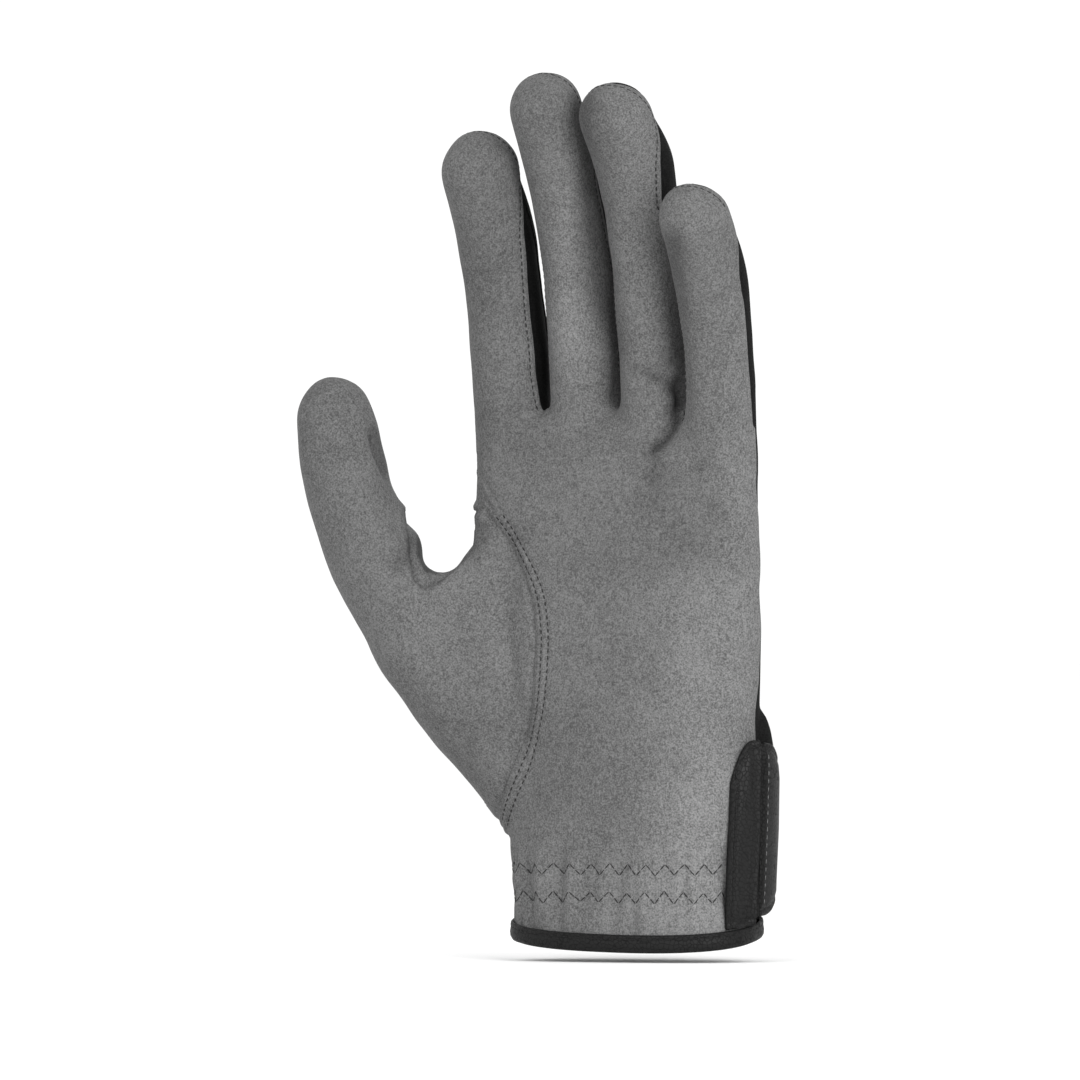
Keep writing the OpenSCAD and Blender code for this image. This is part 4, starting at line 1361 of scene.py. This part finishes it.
slitTape = {"top": 58.0, "middle": 6.0, "halfTop": 2.0, "halfLow": 4.7, "low": 4.2,
            "profile": [(-0.55, 0.35), (-0.2, 0.72), (0.6, 0.86), (1.5, 0.84), (2.05, 0.66), (2.35, 0.2),
                        (2.05, 0.0), (0.2, -0.05), (0.2, -1.15), (2.0, -1.25), (2.2, -1.5), (1.9, -1.8),
                        (0.4, -1.85), (-0.3, -1.5), (-0.6, -0.6)]}


def slitPath():
    # Up the left edge, round the top and down the right edge.
    t = slitTape
    rise = t["top"] - t["halfTop"] - t["low"]
    lean = t["halfLow"] - t["halfTop"]
    left = [(t["middle"] - t["halfLow"] + lean * share, t["low"] + rise * share)
            for share in (k / 27 for k in range(28))]
    angles = [math.pi - math.pi * k / 12 for k in range(1, 12)]
    top = [(t["middle"] + t["halfTop"] * math.cos(a), t["top"] - t["halfTop"] + t["halfTop"] * math.sin(a))
           for a in angles]
    return left + top + [(2 * t["middle"] - x, z) for x, z in reversed(left)]


slitLine = slitPath()


def besideSlit(step, out, off):
    x, z = slitLine[step]
    before, after = slitLine[max(step - 1, 0)], slitLine[min(step + 1, len(slitLine) - 1)]
    dx, dz = after[0] - before[0], after[1] - before[1]
    length = math.hypot(dx, dz)
    return backPoint(x - dz / length * out, z + dx / length * out, off)


def slitPoint(step, k):
    return besideSlit(step, *slitTape["profile"][k])


bm = sweep(len(slitTape["profile"]), len(slitLine) - 1, slitPoint)
surfaces["slit"] = BVHTree.FromBMesh(bm)
fittedPiece(bm, "slitBinding", "binding", "hand_shell", "slit_binding")
row = [castOn(["slit"], besideSlit(k, 1.55, 8), (0, -1, 0)) for k in range(len(slitLine))]
stitchPiece("slitStitching", sew(row, 1.9, 1.2), "blackThread", "hand_shell", 0.17, 0.04)
tack = []
for k in range(11):
    x = slitTape["middle"] - 3.6 + 0.72 * k
    ends = [castOn(["back", "slit"], backPoint(x, z, 8), (0, -1, 0)) for z in (61.1, 63.0)]
    if all(ends):
        tack.append((ends[0][0], ends[1][0], ends[0][1]))
stitchPiece("slitBarTack", tack, "blackThread", "hand_shell", 0.36, 0.12, ["slit_bar_tack"])

elastic = {
    "from": -158.0, "to": -22.0, "low": 6.5, "high": 19.5, "steps": 100, "inside": -2.75, "outside": -2.1,
    "profile": [(0, 0.3), (0.06, 0), (0.5, 0), (0.94, 0), (1, 0.3), (1, 0.7), (0.94, 1), (0.5, 1), (0.06, 1),
                (0, 0.7)],
}


def elasticPoint(step, k):
    degrees = elastic["from"] + (elastic["to"] - elastic["from"]) * step / elastic["steps"]
    t, wall = elastic["profile"][k]
    off = elastic["outside"] + (elastic["inside"] - elastic["outside"]) * wall
    height = elastic["low"] + (elastic["high"] - elastic["low"]) * t
    return palmPoint(height, degrees, off + 0.25 * math.sin(degrees * 0.62))


fittedPiece(sweep(10, elastic["steps"], elasticPoint), "wristElastic", "elastic", "hand_shell",
            "wrist_elastic")
print("cuff made", flush=True)

# Strap

strap = {
    "hinge": -5.0, "end": 128.0, "low": 4.5, "high": 48.0, "tabMiddle": 26.0, "tabReach": 15.0,
    "off": 3.88, "anchorFrom": -27.0, "anchorTo": -6.6, "steps": 84,
    # distance in from an edge, and how far the face stands up there
    "edge": [(0.0, 0.42), (0.22, 0.86), (0.7, 1.08), (1.25, 1.05), (1.75, 0.78), (2.25, 1.06), (3.2, 1.3),
             (6.0, 1.5)],
}


def strapDip(degrees):
    # How much nearer the wrist the strap lies beside its fold.
    return 1.0 - float(smoothStep(degrees, 30, 75))


def tab(degrees):
    return (degrees - strap["hinge"]) / (strap["end"] - strap["hinge"])


def strapMiddle(degrees):
    return (strap["low"] + strap["high"]) / 2 * (1 - tab(degrees)) + strap["tabMiddle"] * tab(degrees)


def strapReach(degrees):
    full = (strap["high"] - strap["low"]) / 2 * (1 - tab(degrees)) + strap["tabReach"] * tab(degrees)
    full -= 2.4 * smoothStep(degrees, 0, 24) * (1 - smoothStep(degrees, 30, 100))
    return full * math.sqrt(max(1 - (max(tab(degrees) - 0.84, 0) / 0.16) ** 2, 0.0))


def paddedLoop(low, high, edge):
    # Section of a padded leather strip, as pairs of height and how far it stands up.
    reach = (high - low) / 2
    k = min(1.0, reach / 7.0)
    up = [(low + d * k, lift * (0.35 + 0.65 * k)) for d, lift in edge]
    middle = (low + high) / 2
    loop = up + [(middle, (edge[-1][1] + 0.08) * (0.35 + 0.65 * k))]
    loop += [(high - d * k, lift * (0.35 + 0.65 * k)) for d, lift in reversed(edge)]
    under = [high - 0.25 * k, *[middle + reach * t for t in (0.5, 0.0, -0.5)], low + 0.25 * k]
    return loop + [(height, 0.0) for height in under]


def strapPoint(step, k):
    t = step / strap["steps"]
    degrees = strap["hinge"] + (strap["end"] - strap["hinge"]) * (1 - (1 - t) ** 1.35)
    if step == strap["steps"]:
        degrees -= 0.05
    m, r = strapMiddle(degrees), max(strapReach(degrees), 0.5)
    z, lift = paddedLoop(m - r, m + r, strap["edge"])[k]
    fromEnd = (strap["end"] - degrees) * 0.55
    if lift > 0:
        lift = lift * (0.55 + 0.45 * min(1.0, fromEnd / 1.2)) - 0.25 * math.exp(-((fromEnd - 1.9) / 0.5) ** 2)
    off = strap["off"] - strapDip(degrees)
    p = palmPoint(z, degrees, off + lift)
    if lift > 0.7:
        p += (p - palmPoint(z, degrees, off - 1)).normalized() * (wobble(p, 9, 0.3) + wobble(p, 3.2, 0.12))
    return p


strapLoop = len(paddedLoop(0, 40, strap["edge"]))
bm = sweep(strapLoop, strap["steps"], strapPoint)
surfaces["strap"] = BVHTree.FromBMesh(bm)
# the closure strap wears the darker painted-shade copy of the leather
closureStrap = fittedPiece(bm, "closureStrap", "shadedStrap", "strap", "closure_strap")


def strapRow(sign, inset):
    row = []
    for degrees in np.arange(strap["hinge"] + 1.2, strap["end"] - 3.6, 0.5):
        r = strapReach(degrees)
        z = strapMiddle(degrees) + sign * (r - inset * min(1.0, r / 7.0))
        row.append(cuffCast(z, degrees, ("strap",)))
    return row


rim = strapRow(1, 1.75)
lower = strapRow(-1, 1.75)
stitchPiece("strapStitching", sew(rim + lower[::-1], 1.9, 1.2), "blackThread", "strap", 0.17, 0.03,
            ["strap_stitching"])
heights = np.arange(strap["low"] + 3, strap["high"] - 2.5, 0.5)
upright = [cuffCast(z, strap["hinge"] + 2.9, ("strap",)) for z in heights]
stitchPiece("hingeStitching", sew(upright, 2.0, 1.1), "paleThread", "strap", 0.14, 0.06)

lining = {"inside": 3.16, "outside": 3.84, "inset": 1.1, "steps": 70}


def liningPoint(step, k):
    t = step / lining["steps"]
    degrees = strap["hinge"] + 0.6 + (strap["end"] - 1.6 - strap["hinge"] - 0.6) * (1 - (1 - t) ** 1.35)
    m, r = strapMiddle(degrees), max(strapReach(degrees) - lining["inset"], 0.4)
    across = [-1, -0.96, -0.5, 0, 0.5, 0.96, 1, 1, 0.96, 0.5, 0, -0.5, -0.96, -1][k]
    low = lining["inside"] + (0.12 if abs(across) == 1 else 0)
    off = lining["outside"] if k < 7 else low
    return palmPoint(m + r * across, degrees, off - strapDip(degrees))


fittedPiece(sweep(14, lining["steps"], liningPoint), "strapLining", "lining", "strap",
            "strap_lining")

hookTape = {"from": 98, "to": 121, "low": 15, "high": 37, "inside": 3.12, "outside": 2.1}
loopTape = {"from": 99, "to": 138, "low": 11, "high": 41, "inside": 0.45, "outside": 1.75}


def patchShape(tape, corner=2.5, steps=24):
    # A patch of tape with rounded corners, lying on the cuff.
    turn = tape["to"] - tape["from"]

    def place(step, k):
        t = step / steps
        near = min(t, 1 - t) * turn * 0.55
        cut = corner - math.sqrt(corner ** 2 - (corner - min(near, corner)) ** 2)
        low, high = tape["low"] + cut, tape["high"] - cut
        across, wall = [(0, 0.3), (0.02, 1), (0.25, 1), (0.5, 1), (0.75, 1), (0.98, 1), (1, 0.3), (1, 0),
                        (0.75, 0), (0.5, 0), (0.25, 0), (0, 0)][k]
        off = tape["inside"] + (tape["outside"] - tape["inside"]) * wall
        return palmPoint(low + (high - low) * across, tape["from"] + turn * t, off)
    return sweep(12, steps, place)


fittedPiece(patchShape(hookTape), "hookPatch", "hook", "strap", "hook_patch")
fittedPiece(patchShape(loopTape), "loopPatch", "loop", "hand_shell", "loop_patch")


def outwards(points):
    return [(q, (q - Vector((0, 0, q.z))).normalized()) for q in points]


sewnOff = 1.78
alongTape = [[palmPoint(z, 100.2 + k * 0.8, sewnOff) for k in range(46)] for z in (12.2, 39.8)]
upTape = [[palmPoint(z, a, sewnOff) for z in np.arange(12.8, 39.4, 0.6)] for a in (100.4, 136.6)]
loopSewn = [s for line in alongTape + upTape for s in sew(outwards(line), 1.9, 1.2)]
stitchPiece("loopStitching", loopSewn, "blackThread", "hand_shell", 0.17, 0.02, ["loop_stitching"])

# the anchor patch sewn on the palm, and the fold that joins the strap to it
anchor = {"steps": 34, "off": 0.55, "top": 48.6, "drop": 10.6}


def anchorTop(degrees):
    t = max(strap["hinge"] - degrees, 0) / (strap["hinge"] - strap["anchorFrom"])
    return anchor["top"] - anchor["drop"] * t ** 2.6


def anchorPoint(step, k):
    degrees = strap["anchorFrom"] + (strap["anchorTo"] - strap["anchorFrom"]) * step / anchor["steps"]
    width = (degrees - strap["anchorFrom"]) * 0.56
    low, high = edgeHeight(degrees) + 3.75, anchorTop(degrees)
    z, lift = paddedLoop(low, high, strap["edge"])[k]
    if lift > 0:
        lift *= 0.55 + 0.45 * min(1.0, width / 0.8)
        lift -= 0.3 * math.exp(-((width - 1.75) / 0.5) ** 2)
        puff = math.sin(min(1.0, max(0.0, (width - 2) / 8.5)) * math.pi) ** 0.8
        lift += 0.45 * puff * min(1.0, (z - low) / 6, (high - z) / 6)
    rise = max(0.0, 1 - (strap["anchorTo"] - degrees) / 5.5) ** 1.6 * 1.5
    p = palmPoint(z, degrees, anchor["off"] + lift + (rise if lift > 0 else 0))
    if lift > 0.7:
        creases = wobble(p, 5.5, 0.62) + wobble(p, 2.4, 0.2)
        p += (p - palmPoint(z, degrees, -1)).normalized() * creases * min(1.0, width / 3)
    return p


bm = sweep(strapLoop, anchor["steps"], anchorPoint)
surfaces["anchor"] = BVHTree.FromBMesh(bm)
strapAnchor = fittedPiece(bm, "strapAnchor", "strap", "hand_shell", "strap_anchor")
heights = np.arange(edgeHeight(-24) + 5.5, 36.6, 0.5)
edgeRow = [cuffCast(z, strap["anchorFrom"] + 3.1, ("anchor",)) for z in heights]
angles = np.arange(strap["anchorFrom"] + 3.6, strap["anchorTo"] - 1, 0.7)
topRow = [cuffCast(anchorTop(a) - 1.75, a, ("anchor",)) for a in angles]
stitchPiece("anchorStitching", sew(edgeRow + topRow, 1.8, 1.15), "blackThread", "hand_shell", 0.27, 0.06,
            ["anchor_stitching"])

fold = {"from": -8.2, "to": -3.0, "steps": 16, "low": 4.6, "high": 47.6, "rows": 24}


def foldPoint(step, k):
    # Across the fold in steps, and up it by the profile.
    t = step / fold["steps"]
    degrees = fold["from"] + (fold["to"] - fold["from"]) * t
    rows = fold["rows"]
    up, wall = (k / rows, 1) if k <= rows else ((2 * rows + 1 - k) / rows, 0)
    rise = 3 * t * t - 2 * t ** 3
    outer = 2.75 + 0.8 * rise + 0.3 * math.sin(t * math.pi)
    inner = outer - 1.0
    return palmPoint(fold["low"] + (fold["high"] - fold["low"]) * up, degrees, outer if wall else inner)


hingeFold = finishPiece(sweep(2 * fold["rows"] + 2, fold["steps"], foldPoint), "hingeFold", "strap")
foldStart = palmPoint(26, fold["from"] + 0.8, 3.0)
foldEnd = palmPoint(26, fold["to"] - 0.2, 4.6)
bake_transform(hingeFold, "hand_shell", "strap", tuple(foldStart / perMetre), tuple(foldEnd / perMetre))
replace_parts(hingeFold, "hinge_welt")
print("strap made", flush=True)


def declareCloth(piece, sewnOn=()):
    # Reads the heights of a panel's points and does nothing more with them.
    height = coordinates(piece.data)[:, 2]


for piece in frontPieces.values():
    declareCloth(piece)
declareCloth(thumbPieces["hand"], [thumbPieces["thumb"], webPiece])
sidePieces = [o for o in bpy.data.objects if o.name.endswith(("SideLeft", "SideRight", "Crotch"))]
for name, piece in backPieces.items():
    declareCloth(piece, [o for o in sidePieces if o.name.startswith(name) and "Side" in o.name
                         or name == "hand" and o.name.endswith("Crotch")])

# Floor


def layFloor():
    f = Finish("paleFloor", 0.9)
    p = f.place()
    speck = f.grain(p, 3.0, 2.0, 0.5)
    dark, light = grey(studio["floorTone"] - 0.01), grey(studio["floorTone"] + 0.01)
    finishes["floor"] = f.shade(f.mixed(speck, dark, light))
    bm = bmesh.new()
    bmesh.ops.create_grid(bm, x_segments=8, y_segments=8, size=9000)
    bmesh.ops.translate(bm, verts=bm.verts, vec=(0, 0, -4.9 - studio["floorDrop"]))
    finishPiece(bm, "floor", "floor")


layFloor()
